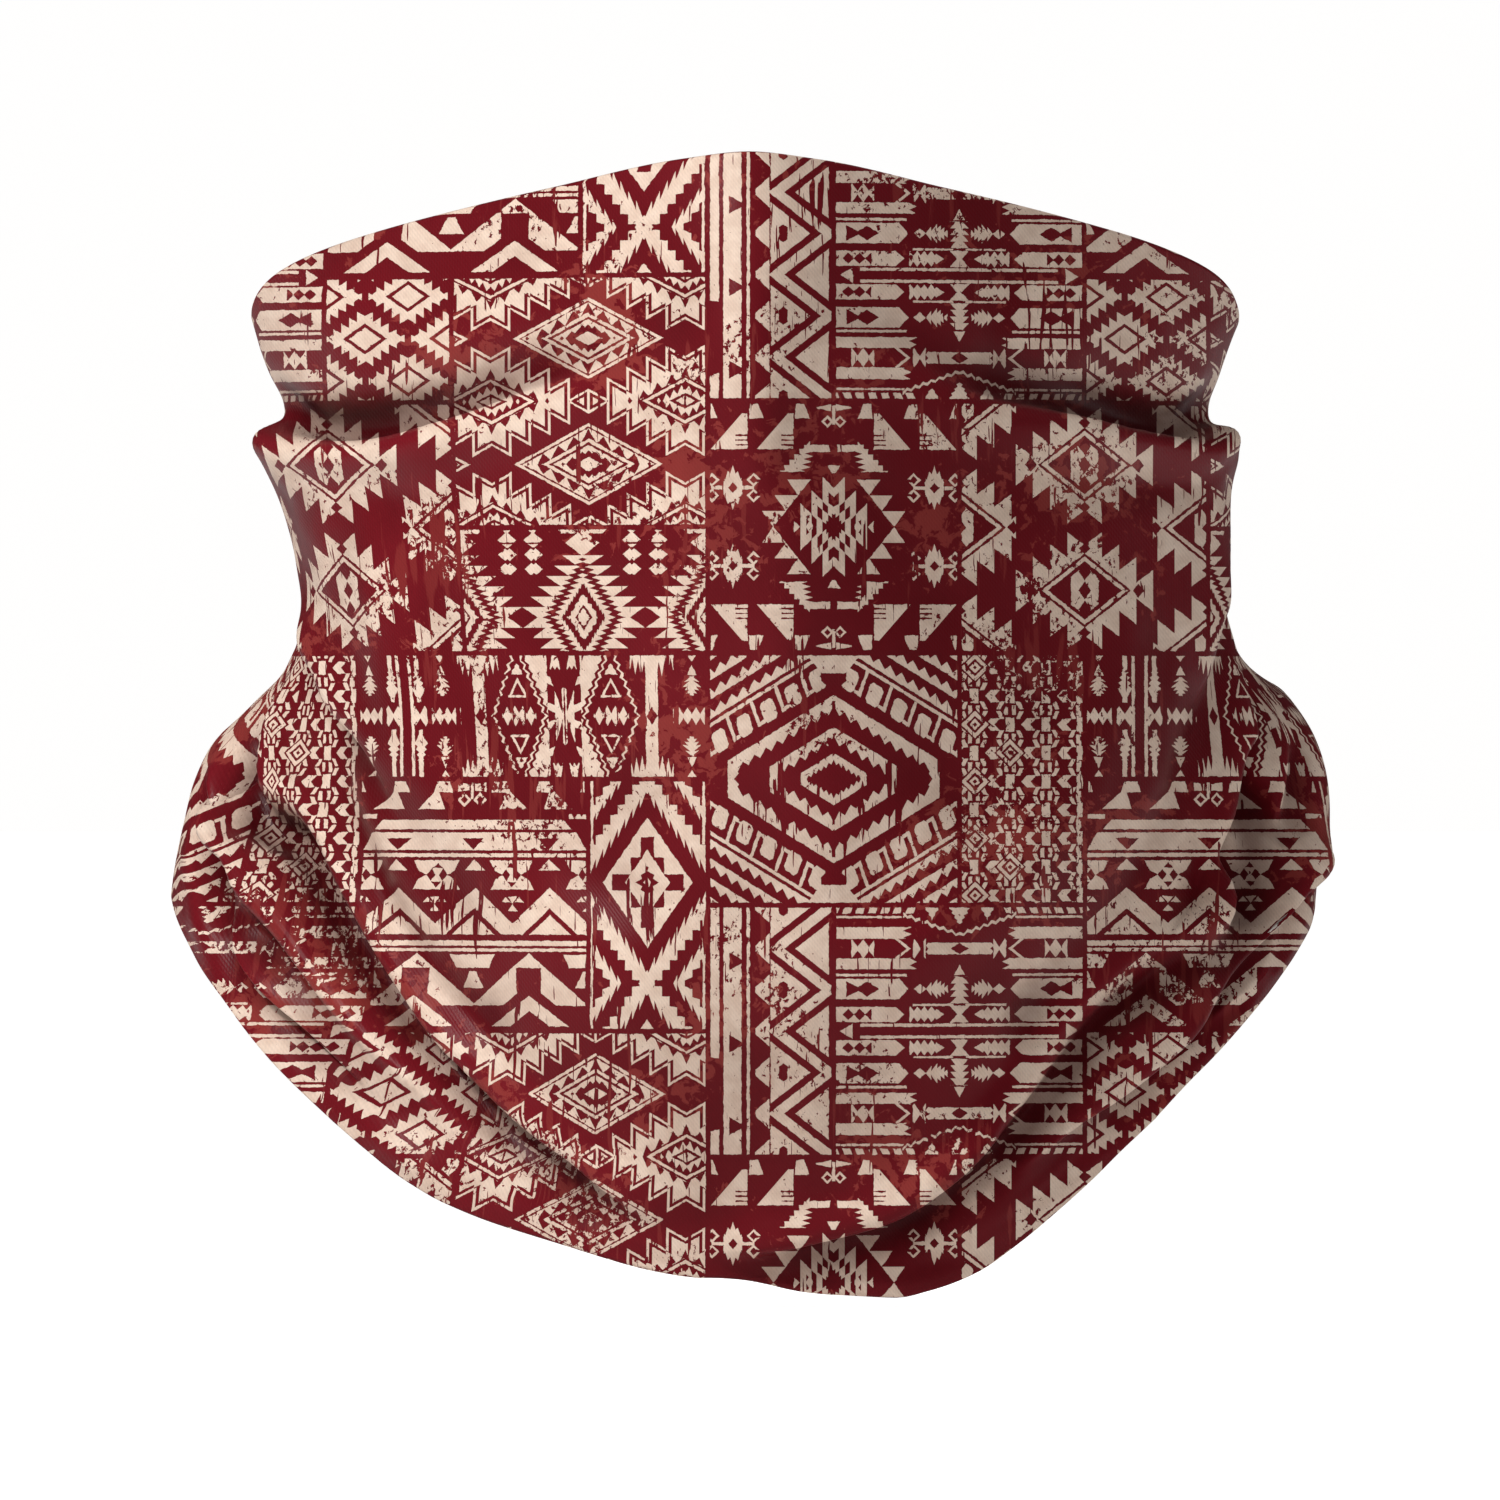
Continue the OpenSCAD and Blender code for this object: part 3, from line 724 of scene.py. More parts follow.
def motifs(X, Y):
    """The twelve patches of the repeat. X runs right and Y down, in cells."""
    def local(cx, cy):
        x = mod(X - (cx - 3), 6) - 3
        y = mod(Y - (cy - 3), 6) - 3
        return x, y

    out = []

    def patch(cx, cy, hx, hy, make):
        x, y = local(cx, cy)
        ax, ay = ab(x), ab(y)
        frame_ = mx(ax - (hx - 0.02), ay - (hy - 0.02))
        out.append(mx(make(x, y, ax, ay), frame_))

    def small_diamonds(x, y, ax, ay):
        u, v = pp(x - 0.16, 0.336), pp(y + 0.344, 0.336)
        u, v, s = other_centre(u, v, 0.336, 0.336, u + v - 0.336)
        body = v - toothed(u, 0.062, 0.215, 0.046, 0.034)
        tips = mx(band(v, 0.0, 0.05), u - 0.3)
        ring = (ab(dia(u, v, 0.15, 0.108) - 1) - 0.15) * 0.12
        return cut(mn(body, mx(tips, u + v * 1.2 - 0.3)), ring)

    def stars(x, y, ax, ay):
        u, v = pp(x - 0.824, 0.76), pp(y, 0.5)
        i = lambda q: v - toothed(q, 0.154, 0.44, 0.084, 0.088)
        edge = i(u)
        gapf = mx(edge, i(u + 0.02)) + 0.02
        body = mx(edge, i(u + 0.045)) + 0.045
        d = dia(u, v, 0.355, 0.19)
        line = (ab(d - 1.0) - 0.05) * 0.2
        teeth = mx(1.04 - d, d - 1.0 - (0.045 - pp(u, 0.055)) * 8.5) * 0.12
        ring = mx(d - 0.82, mad(pp(u, 0.03), 9.0, 0.44) - d) * 0.15
        eye = mn((ab(d - 0.28) - 0.06) * 0.15, mx(u - 0.008, v - 0.05))
        body = cut(cut(cut(cut(body, line), teeth), ring), eye)
        star = mn(cut(edge, gapf), body)
        ux, vx = 0.76 - u, 0.5 - v
        e = dia(ux, vx, 0.585, 0.325)
        rings = (0.035 - ab(pp(e - 0.88, 0.36) - 0.0)) * 0.25
        saw = mx(0.62 - e, e - 0.62 - (0.06 - pp(ux, 0.06)) * 4.2) * 0.2
        sun = mx((0.17 - e), (e - 0.30 - pp(ux + vx * 0.4, 0.03) * 3.2)) * 0.25
        rhomb = cut(cut(cut((e - 1) * 0.28, (ab(e - 0.90) - 0.022) * 0.25), saw), sun)
        rhomb = cut(rhomb, (ab(e - 0.5) - 0.035) * 0.25)
        return mn(star, rhomb)

    def ribbons(x, y, ax, ay):
        t = pp(y + 0.0, 0.3275)
        xz = mad(t, 1.28, 0.045)
        zig = ab(x - xz) - 0.062
        right = mx(xz + 0.15 - x, x - 0.46)
        left = mx(x - xz + 0.15, 0.0 - x)
        notch = mx(ab(x - 0.1) - 0.035, 0.255 + ab(x - 0.1) * 0.7 - t)
        left = cut(left, notch)
        w = pp(y + 0.16, 0.164)
        hour = mx(ab(x + 0.065) - 0.055, w - 0.02 - ab(x + 0.065) * 1.4)
        tri = mx(mx(x + 0.01, -0.12 - x), pp(y, 0.164) - mad(x, 0.9, 0.13))
        s1 = within(x, -0.49, -0.41)
        s2 = within(x, -0.375, -0.232)
        s2 = cut(s2, mx(-0.33 - x, pp(y - 0.1, 0.3275) - mad(x, -0.55, -0.11)))
        s1 = cut(s1, mx(x + 0.2, pp(y - 0.5, 1.0) - 0.2 - x * -0.2))
        s3 = within(x, -0.19, -0.165)
        return mn(zig, right, left, tri, s1, s2, s3)

    def bars(x, y, ax, ay):
        # row by row outwards from the middle line
        line = mx(band(ay, 0.047, 0.012), ax - 0.79)
        end = mx(ay - (0.95 - ax) * 0.6, 0.85 - ax)
        h2 = ab(ay - 0.133)
        arrow = mx(h2 - (ax - 0.44) * 0.9, h2 - 0.060)
        arrow = cut(arrow, mx(h2 - 0.004 - pp(ax - 0.03, 0.045) * 0.9, 0.70 - ax, ax - 0.93))
        arrow2 = mx(h2 - (ax - 0.12) * 0.62, h2 - 0.062 + pp(ax, 0.028) * 1.3, ax - 0.40)
        waist = mx(ax - 0.018 - h2 * 0.9, h2 - 0.066)
        wire = mx(band(ay, 0.208, 0.008), ax - 0.37, 0.05 - ax)
        h3 = ab(ay - 0.335)
        dart = mx(h3 - (ax - 0.405) * 1.05, h3 - 0.080)
        dart = cut(dart, (dia(ab(ax - 0.735), h3, 0.095, 0.06) - 1) * 0.05)
        dart = cut(dart, mx(h3 - 0.012 - (ax - 0.80) * 0.5, within(ax, 0.80, 0.9)))
        leaf = mx(h3 - 0.078 + ab(ax - 0.18) * 0.5 + pp(mad(h3, 0.5, ax), 0.018) * 2.2, ab(ax - 0.18) - 0.085)
        leaf = mn(leaf, (dia(ab(ax - 0.315), h3, 0.05, 0.04) - 1) * 0.04)
        stack = mx(ax - 0.026 - mod(0.43 - ay, 0.0525) * 0.9, within(ay, 0.22, 0.43))
        stack = mn(stack, mx(ax - (0.525 - ay) * 0.55, 0.445 - ay))
        rail = mx(band(ay, 0.445, 0.010), 0.42 - ax)
        jag = pp(ay, 0.0275) * 2.2
        block = mx(within(ay, 0.492, 0.578), 0.34 - ax + jag)
        h6 = ab(ay - 0.655)
        bar = cut(mx(h6 - 0.046, ax - 0.245 - pp(h6, 0.025)), (dia(ax, h6, 0.07, 0.045) - 1) * 0.04)
        angle = mx(ab(ax - 0.405 - h6 * 1.25) - 0.016, h6 - 0.078)
        teeth = mx(h6 - 0.078 + pp(ax - 0.27, 0.045) * 1.5, within(ax, 0.27, 0.37))
        plume = mx(h6 - 0.014 - pp(ax - 0.72, 0.045) * 1.35, within(ax, 0.68, 0.86))
        block2 = mx(within(ay, 0.733, 0.826), 0.385 - ax + jag)
        ridge = mx(ab(ay - 0.775 - ax * 0.36 + pp(ax, 0.032) * 0.7) - 0.011, ax - 0.45)
        ridge = mn(ridge, mx(band(ay, 0.905, 0.009), 0.44 - ax))
        fir = mx(ax - 0.012 - (ay - 0.845) * 0.55 + pp(ay, 0.018) * 1.0, 0.845 - ay)
        comb = mx(within(ay, 0.935, 0.982), pp(ax + (ay - 0.935) * 0.4, 0.05) - 0.03, 0.33 - ax)
        peg = mx(ay - 0.985, ab(ax - 0.22) - (ay - 0.88) * 0.6 + pp(ay, 0.02) * 0.5)
        return mn(line, end, arrow, arrow2, waist, wire, dart, leaf, stack, rail, block, bar, angle, teeth, plume,
                  block2, ridge, fir, comb, peg)

    def medallions(x, y, ax, ay):
        u, v = pp(x, 1.0), pp(y - 0.5, 0.5)
        u, v, s = other_centre(u, v, 1.0, 0.5, u - 0.55)
        edge = v - toothed(u, 0.138, 0.464, 0.099, 0.104)
        d = dia(u, v, 0.33, 0.26)
        ring = (ab(d - 0.97) - 0.07) * 0.2
        gapf = (d - 1.14) * 0.2
        core = (d - 0.9) * 0.2
        lattice = mx(core, ab(u - 0.0) - 0.11)
        beads = (dia(u, pp(v, 0.075), 0.052, 0.07) - 1) * 0.05
        side = (dia(ab(u - 0.43), v, 0.05, 0.055) - 1) * 0.04
        tip = (dia(u, ab(v - 0.335), 0.05, 0.045) - 1) * 0.04
        m = cut(cut(cut(edge, gapf), side), tip)
        frame2 = mx(core, 0.012 - ab(u - 0.135 + v * 0.1))
        m = mn(m, cut(ring, core), mx(cut(lattice, beads), d * 0.2 - 0.15))
        return mx(m, u - 0.552)

    def hooked_medallion(x, y, ax, ay):
        # leaning peaks along the top and the bottom
        rise = ay - 0.615
        q = mod(mad(rise, 0.87, ax) - 0.245, 0.365)
        side = mad(rise, -0.87, q)
        peak = mx(0.075 - side, -rise, ay - 0.9)
        ledge = mx(band(mod(ay - 0.63, 0.038), 0.019, 0.006), side - 0.17, ay - 0.735)
        cap = mx(0.86 - ay, ay - 0.975, 0.16 + (ay - 0.86) * 1.25 - q, q - 0.275 - (ay - 0.86) * 0.8)
        peaks = mx(mn(cut(peak, ledge), cap), ax - 0.975, 0.19 - ax)
        # stepped wings above and below the centre
        step = fl((0.66 - ay) / 0.043) * 0.043
        wing = mx(mad(step, -0.9, ax) - 0.235, 0.03 - ax, 0.437 - ay, ay - 0.65)
        ray = mx(ax - 0.155 - pp(ay, 0.0215) * 3.2 - (0.6 - ay) * 0.25, ay - 0.595)
        wing = cut(wing, ray)
        # ring of flags
        line = mad(ay, -0.79, 0.48)
        flags = mx(line - ax, ax - mad(fr(ay / 0.125), 0.185, line), ay - 0.375)
        # serrated star, ring and cross
        t1 = toothed(ax, 0.088, 0.395, 0.105, 0.085)
        star = mx(ay - t1, ax - 0.315)
        hole = mx(ay - t1 + 0.075, ay - toothed(ax + 0.046, 0.088, 0.395, 0.105, 0.085) + 0.045, ax - 0.255)
        t2 = toothed(ax, 0.045, 0.19, 0.052, 0.034)
        cross = mx(ay - t2, ax - 0.14)
        hole2 = mx(ay - t2 + 0.06, ay - toothed(ax + 0.03, 0.045, 0.19, 0.052, 0.034) + 0.03, ax - 0.1)
        darts = mx(ab(ax - 0.19) * 1.6 - 0.052 + ay, 0.165 - ax)
        crown = mx(ab(ay - 0.455) - 0.032, ax - 0.012 - (ay - 0.42) * 0.6)
        medal = mn(flags, cut(star, hole), cut(cross, hole2), darts, crown)
        # hooked stars
        du, dv = ab(ax - 0.8), ab(ay - 0.31)
        body = mx(dv - 0.175 + du * 1.1 + pp(du, 0.02) * 2.2, du - 0.068)
        body = mn(body, mx(dv - 0.014, du - 0.17), mx(dv - 0.075 + du * 0.3, du - 0.074))
        body = cut(body, (dia(du, dv, 0.037, 0.042) - 1) * 0.04)
        ring = ab(ab(du - 0.165) + ab(dv - 0.062) - 0.044) - 0.012
        hook = cut(ring, mx(dv - 0.068, 0.165 - du, 0.045 - dv))
        # small sprig at the middle of the two borders
        sprig = mn(mx(ax - 0.012, within(ay, 0.81, 0.96)), mx(ab(ay - 0.945) - 0.032 + ax * 0.2, ax - 0.14, 0.02 - ax),
                   mx(ab(ab(ax - 0.05) + ab(ay - 0.835) - 0.038) - 0.011, 0.0 - ax))
        return mn(peaks, wing, medal, body, hook, sprig)

    def trees(x, y, ax, ay):
        u = pp(x, 0.5)
        yy = ab(y - 0.216)
        D = mad(u, 5.88, yy * 3.85)
        # fir-like body with upright steps and level teeth
        k = yy / 0.082
        body = u - mad(fl(k), -0.066, mad(fr(k), 0.12, 0.375))
        body = mx(body, -0.30 - y)
        zig = ab(D - 1.78 + pp(yy, 0.021) * 16.0) - 0.22
        inner = mx(D - 1.0 - pp(u, 0.011) * 9.0, 0 - 1.0)
        ring = mx(D - 0.66 - fr(u / 0.034) * 0.12, 0.40 - D)
        seed = D - 0.27 - fr(u / 0.02) * 0.06
        gem = (dia(ab(u - 0.5), yy, 0.088, 0.078) - 1) * 0.06
        body = cut(cut(cut(body, mx(zig * 0.1, 0.0 - 1)), inner * 0.1), gem)
        body = mn(body, ring * 0.1, seed * 0.1)
        # small paired stacks between the bodies
        c = ab(ab(u - 0.5) - 0.105)
        w = pp(y + 0.455, 0.0575)
        stack = mx(c - mad(w, 1.15, 0.008), within(y, -0.475, -0.125))
        stack = cut(stack, mx(c + w - 0.026, -0.34 - y))
        stack = cut(stack, mx(band(y, -0.373, 0.008), c - 0.06))
        top = mx((dia(u, ab(y + 0.375), 0.135, 0.105) - 1) * 0.08, 0 - 1)
        lid = mx(y + 0.45, u - 0.19 + (y + 0.48) * 0.8)
        return mn(body, stack, top, lid)

    def spears(x, y, ax, ay):
        u = ab(x - 0.32)
        z = pp(ay, 0.034) * 0.75
        # hourglass with slots, its stepped outline, and a second outline facing it
        edge = u - mad(ay, 0.41, z + 0.115)
        inner = mad(ay, 0.33, 0.012) - u
        body = mx(edge, inner)
        slot = mx(band(u, 0.11, 0.03), ab(mod(ay - u * 0.4, 0.21) - 0.13) - 0.075)
        body = mn(cut(body, slot), mx(u - 0.018, ay - 0.23 + u, 0.006 - u))
        tulip = mx(ab(u - 0.07) - 0.038 + (ay - 0.40) * 0.2, 0.37 - ay + pp(u - 0.07, 0.019) * 1.6)
        rail = mx(band(u, 0.145, 0.008), 0.30 - ay)
        line1 = ab(u - mad(ay, 0.41, z + 0.152)) - 0.009
        line2 = ab(u - mad(ay, -0.40, 0.625 - z)) - 0.010
        # a column of little figures
        c = ab(u - 0.39)
        s1 = c - (0.30 - ay) * 0.55
        frame1 = mn(mx(ab(s1 + 0.008) - 0.010, 0.148 - ay), mx(within(ay, 0.148, 0.166), c - 0.085))
        s2 = mx(c - (0.43 - ay) * 0.6 + pp(ay, 0.02) * 0.5, 0.33 - ay)
        bow = mx(ay - 0.02 - pp(c, 0.034) * 1.9 + c * 0.1, c - 0.145)
        bow = cut(bow, mx(ab(c - 0.052) - 0.006, ay - 0.09))
        figures = mn(frame1, s2, bow)
        # posts with grass at both ends
        c2 = ab(u - 0.725)
        shaft = cut(mx(c2 - 0.05, ay - 0.46), (dia(c2, ay, 0.045, 0.072) - 1) * 0.04)
        grass = mx(0.285 - ay + pp(c2 + 0.012, 0.024) * 5.2 + c2 * 0.35, c2 - 0.175)
        # leaves towards the ends of the patch
        c3 = pp(u - 1.05, 0.33)
        tri = mx(c3 - (0.41 - ay) * 0.45, 0.325 - ay)
        spiky = mx(c3 - 0.078 + ab(ay - 0.238) * 0.6 + pp(mad(c3, 0.6, ay), 0.017) * 2.4, ab(ay - 0.238) - 0.068)
        spiky = mn(spiky, mx(c3 - 0.016, ab(ay - 0.238) - 0.075))
        leaf = spiky
        dart = mx(ay - 0.014 - pp(c3, 0.034) * 1.6, c3 - 0.105)
        tip = mx(c3 - (ay - 0.43) * 0.7, 0.43 - ay)
        # upright posts with an arrow head on both ends, beside a pair of plain lines
        c4 = pp(u - 1.05 - 0.33, 0.33)
        e = ab(c4 - 0.12)
        pole = mn(ab(c4 - 0.052) - 0.013, mx(e - 0.019, 0.11 - ay))
        head = mx(e - (ay - 0.115) * 0.55, ay - 0.215)
        vane = mx(e - 0.058 + (ay - 0.215) * 0.2 + pp(ay, 0.022) * 1.1, 0.20 - ay, ay - 0.35)
        vane = mn(vane, head, mx(ay - 0.014 - pp(e, 0.045) * 1.5, e - 0.062))
        outer = mx(mn(tri, leaf, dart, tip, pole, vane), 0.9 - u)
        return mn(mx(mn(body, line1, tulip, rail), u - 0.36), mx(line2, u - 0.66), mx(figures, u - 0.56),
                  mx(mn(shaft, grass), u - 0.905), outer)

    def hexagon(x, y, ax, ay):
        D = mad(ax, 0.62, ay)
        saw = pp(ax, 0.045)
        ring1 = mx(D - 0.667, 0.585 - D - saw * 1.25, ax - 0.84)
        ring1 = mn(ring1, mx(D - 0.6, 0.79 - ax - pp(ay, 0.045) * 0.8, ax - 0.84))
        ring2 = mx(D - 0.413, 0.345 - D - saw * 1.25, ax - 0.507)
        ring2 = mn(ring2, mx(D - 0.35, 0.45 - ax - pp(ay, 0.045) * 0.8, ax - 0.507))
        ring3 = mx(D - 0.207, 0.155 - D - pp(ax, 0.02) * 1.4, ax - 0.26)
        ring3 = mn(ring3, mx(D - 0.17, 0.215 - ax, ax - 0.26))
        slit = mx(ax - 0.014, within(ay, 0.53, 0.62))
        slit2 = mx(ax - 0.01, within(ay, 0.27, 0.36))
        # beads and hooks along the slopes
        a = mod(ax - ay * 0.35 - 0.02, 0.235)
        bead = mx(ab(a - 0.07) - 0.062, band(D, 0.865, 0.095), ab(a - 0.07) + ab(D - 0.865) * 0.8 - 0.115)
        hook = mx(band(a, 0.185, 0.014), band(D, 0.9, 0.12))
        crook = mx(band(D, 0.80, 0.016), within(a, 0.13, 0.20))
        rail = band(D, 1.035, 0.016)
        top = mx(ab(ax) - 0.08 - (ay - 0.82) * 0.8, 0.84 - ay)
        beads = mx(mn(bead, hook, crook), mn(0.1 - ax, 0.12 - ax + (ay - 0.8)))
        # saw bands in the corners
        k = mod(D - 1.07, 0.155)
        corner = mx(1.07 - D, k - 0.05 - (0.045 - pp(ax, 0.045)) * 1.3, -k + 0.012)
        return mn(cut(ring1, slit), cut(ring2, slit2), ring3, beads, rail, corner, top)

    def chains(x, y, ax, ay):
        # three upright chains with leaves, and a row of chevrons between them at every link
        t = pp(y + 0.886, 0.11315)
        u = pp(x + 0.098, 0.1435)
        shaft = mx(u - 0.034, t - 0.056)
        checks = mx(ab(u - 0.031) - 0.015, 0.076 - t)
        leaf = mx(ab(u - 0.040 - t * 0.5) - 0.017, 0.046 - t, t - 0.105)
        s = mod(x + 0.3795, 0.287) - 0.1435
        chevron = mx(mad(t, 0.9, -0.058) - s, s - 0.014 - t * 0.9, t - 0.048)
        d = mn(ab(x + 0.377) + pp(y + 0.886, 0.2263), ab(x + 0.098) + pp(y + 0.208, 0.4526))
        gem = mn(ab(d - 0.090) - 0.019, ab(d - 0.032) - 0.013)
        d1 = mx(ab(x - 0.443) - 0.008, pp(y, 0.04) - 0.024)
        d2 = mx(ab(x - 0.461) - 0.008, pp(y + 0.04, 0.04) - 0.024)
        return mn(cut(mn(shaft, checks, leaf, chevron), d - 0.128), gem, d1, d2)

    def ranges(x, y, ax, ay):
        # y = -1 at the top of the patch
        w = mod(ax - 0.225, 0.385) - 0.07
        pk = mx(w - (y + 0.925) * 1.12, y + 0.762, (y + 0.925) * -0.35 - w)
        w3 = mod(ax - 0.095, 0.385)
        pk = mn(pk, mx(ab(w3 - 0.152) - 0.05 - (y + 0.986) * 0.35, within(y, -0.986, -0.895)))
        peaks = mx(pk, ax - 0.97, 0.17 - ax)
        sprig = mn(mx(ax - 0.012, within(y, -0.97, -0.84)), mx(ab(y + 0.935) - 0.022 - ax * 0.1, ax - 0.12, 0.025 - ax),
                   ab(ab(ax - 0.068) + ab(y + 0.835) - 0.045) - 0.013)
        s1 = within(y, -0.675, -0.6)
        s1 = mx(s1, ax - 0.82 - (y + 0.64) * 0.9)
        s0 = mx(within(y, -0.72, -0.685), 0.84 - ax)
        s2 = mx(within(y, -0.575, -0.435), ax - 0.9 - (y + 0.575) * 0.6)
        s2 = cut(s2, mx(-0.53 - y, pp(x, 0.33) - 0.095 + (y + 0.53) * 1.0))
        s3 = within(y, -0.41, -0.38)
        t = pp(x, 0.3325)
        tri = mx(y + 0.275, t - (y + 0.362) * 1.08)
        # hourglass figures between the peaks of the zigzag
        q = 0.3325 - t
        h = ab(y + 0.238)
        hg = mx(h - 0.115, q - 0.127 - h * 0.55)
        hg = cut(hg, (dia(q, h, 0.085, 0.10) - 1) * 0.06)
        hg = cut(hg, h - (q - 0.078) * 0.5)
        hg = mn(hg, mx(q - 0.012 - h * 0.7, h - 0.055))
        hs = mn(mx(ab(q - 0.06) - (y + 0.065) * 0.9, y + 0.022), mx(q - (y + 0.002) * 0.9, y - 0.05),
                mx(q - (-0.012 - y) * 0.8, -0.065 - y))
        zz = mad(t, 0.86, -0.155)
        zig = ab(y - zz - 0.10) - 0.082
        under = mx(zz + 0.235 - y, y - 0.235)
        zone3 = mx(mn(zig, under), y - 0.235)
        s4 = mn(within(y, 0.285, 0.325), within(y, 0.345, 0.37))
        # big stepped mountains
        T = pp(x - 0.49, 0.5)
        up = mx(y - 0.80, T * 0.8 + 0.385 - y)
        door = mx(T - 0.11, 0.50 - y, y - 0.72)
        foot = mx(T - 0.24, 0.705 - y)
        mount = cut(cut(up, door), mx(foot, T * 0.75 + 0.62 - y))
        chev = mx(ab(y - mad(T, 0.72, 0.78)) - 0.06, y - 0.965)
        trap = mx(within(y, 0.395, 0.5), (0.5 - T) - 0.2 + (y - 0.4) * 0.5)
        fly = mx(within(y, 0.53, 0.66), (0.5 - T) - 0.03 - (y - 0.53) * 0.5)
        return mn(peaks, sprig, s0, s1, s2, s3, tri, hg, hs, zone3, s4, mount, chev, trap, fly)

    def crossed(x, y, ax, ay):
        v = pp(y + 0.18, 0.8)
        d = dia(ax, v, 0.375, 0.515)
        ring = within(d, 0.5, 1.0) * 0.3
        cross = mn(mx(ax - 0.055, v - 0.36), mx(v - 0.065, ax - 0.30), mx(ax - 0.14, v - 0.2))
        ring = cut(ring, cross)
        small = mx((d - 0.5) * 0.25 , (0.27 - d) * 0.3 + pp(v, 0.03) * -0.9)
        core = (d - 0.09) * 0.3
        w = 0.8 - v
        line = w - ax * 1.28
        teeth = fr(ax / 0.062) * 0.085
        arm = ab(line - 0.0) - 0.055 - teeth * 0.9
        side = mx(ab(line + 0.34) - 0.03 - teeth * 0.7, 0.2 - ax)
        side2 = mx(ab(line - 0.30) - 0.03 - teeth * 0.6, 0.2 - ax)
        arms = mx(mn(arm, side), 1.12 - d)
        star = (dia(ax, w, 0.07, 0.1) - 1) * 0.05
        rail = mx(within(ax, 0.455, 0.475), 0.2 - v)
        tri = mx(w - 0.36 + ax * 0.0, 0.30 - w + ax * 1.2)
        return mn(ring, small, core, arms, star, mx(tri, w - 0.34), mx(rail, w - 0.5))

    patch(0.5, 0.5, 0.5, 0.5, small_diamonds)
    patch(2, 1, 1, 1, stars)
    patch(3.5, 0, 0.5, 1, ribbons)
    patch(5, 0, 1, 1, bars)
    patch(0, 2, 1, 1, medallions)
    patch(4, 2, 1, 1, hooked_medallion)
    patch(2, 2.5, 1, 0.5, trees)
    patch(1.5, 3.5, 1.5, 0.5, spears)
    patch(4, 4, 1, 1, hexagon)
    patch(5.5, 4, 0.5, 1, chains)
    patch(1, 5, 1, 1, ranges)
    patch(2.5, 5, 0.5, 1, crossed)
    return out

# ------------------------------------------------------------------ materials
class Tree:
    """Small helper for writing node trees."""

    def __init__(self, tree):
        self.t = tree
        self.memo = {}
        self.ins = {}

    def node(self, kind, **props):
        n = self.t.nodes.new(kind)
        for k, v in props.items():
            setattr(n, k, v)
        return n

    def put(self, socket, value):
        if isinstance(value, (int, float)):
            socket.default_value = value
        elif isinstance(value, tuple):
            socket.default_value = value if len(value) == len(socket.default_value) else (*value, 1)
        else:
            self.t.links.new(value, socket)

    def math(self, op, *args):
        n = self.node("ShaderNodeMath", operation=op)
        for s, a in zip(n.inputs, args):
            self.put(s, a)
        return n.outputs[0]

    def formula(self, e):
        """Build an Ex formula, deepest steps first, so that few values are alive at once."""
        if not isinstance(e, Ex):
            return e
        if id(e) not in self.memo:
            if e.op in self.ins:
                self.memo[id(e)] = self.ins[e.op]
            else:
                args = [self.formula(a) for a in e.args]
                self.memo[id(e)] = self.math(e.op, *args)
        return self.memo[id(e)]

    def scaled(self, vec, s):
        n = self.node("ShaderNodeVectorMath", operation="MULTIPLY")
        self.put(n.inputs[0], vec)
        n.inputs[1].default_value = s
        return n.outputs[0]

    def noise(self, vec, scale, detail=2.0, rough=0.5, distort=0.0):
        n = self.node("ShaderNodeTexNoise", noise_dimensions="3D")
        self.put(n.inputs["Vector"], vec)
        n.inputs["Scale"].default_value = scale
        n.inputs["Detail"].default_value = detail
        n.inputs["Roughness"].default_value = rough
        n.inputs["Distortion"].default_value = distort
        return n.outputs["Fac"]

    def remap(self, x, a, b, c=0.0, d=1.0, soft=True):
        n = self.node("ShaderNodeMapRange", interpolation_type="SMOOTHSTEP" if soft else "LINEAR")
        self.put(n.inputs[0], x)
        for k, val in enumerate((a, b, c, d)):
            self.put(n.inputs[1 + k], val)
        return n.outputs[0]

    def mix(self, fac, a, b, mode="MIX"):
        n = self.node("ShaderNodeMix", data_type="RGBA", blend_type=mode)
        self.put(n.inputs[0], fac)
        for s, v in ((n.inputs[6], a), (n.inputs[7], b)):
            self.put(s, v)
        return n.outputs[2]

    def split(self, vec):
        n = self.node("ShaderNodeSeparateXYZ")
        self.put(n.inputs[0], vec)
        return n.outputs

    def join(self, x, y, z=0.0):
        n = self.node("ShaderNodeCombineXYZ")
        for s, v in zip(n.inputs, (x, y, z)):
            self.put(s, v)
        return n.outputs[0]

    def bump(self, height, strength, distance):
        n = self.node("ShaderNodeBump")
        n.inputs["Strength"].default_value = strength
        n.inputs["Distance"].default_value = distance
        self.put(n.inputs["Height"], height)
        return n.outputs["Normal"]


def new_material(name):
    m = bpy.data.materials.new(name)
    m.use_nodes = True
    return m, Tree(m.node_tree), m.node_tree.nodes["Principled BSDF"]


CELL = 125 / 6        # the repeat is 125 mm, on six cells
PRINT_X, PRINT_Z = 69.33, 169.33


def patch_group(k, formula):
    g = bpy.data.node_groups.new("print_patch_%02d" % k, "ShaderNodeTree")
    for name in ("X", "Y"):
        g.interface.new_socket(name, in_out="INPUT", socket_type="NodeSocketFloat")
    g.interface.new_socket("Edge", in_out="OUTPUT", socket_type="NodeSocketFloat")
    t = Tree(g)
    gi = t.node("NodeGroupInput")
    t.ins = {"IN_X": gi.outputs[0], "IN_Y": gi.outputs[1]}
    s = t.formula(formula)
    go = t.node("NodeGroupOutput")
    g.links.new(s, go.inputs[0])
    return g


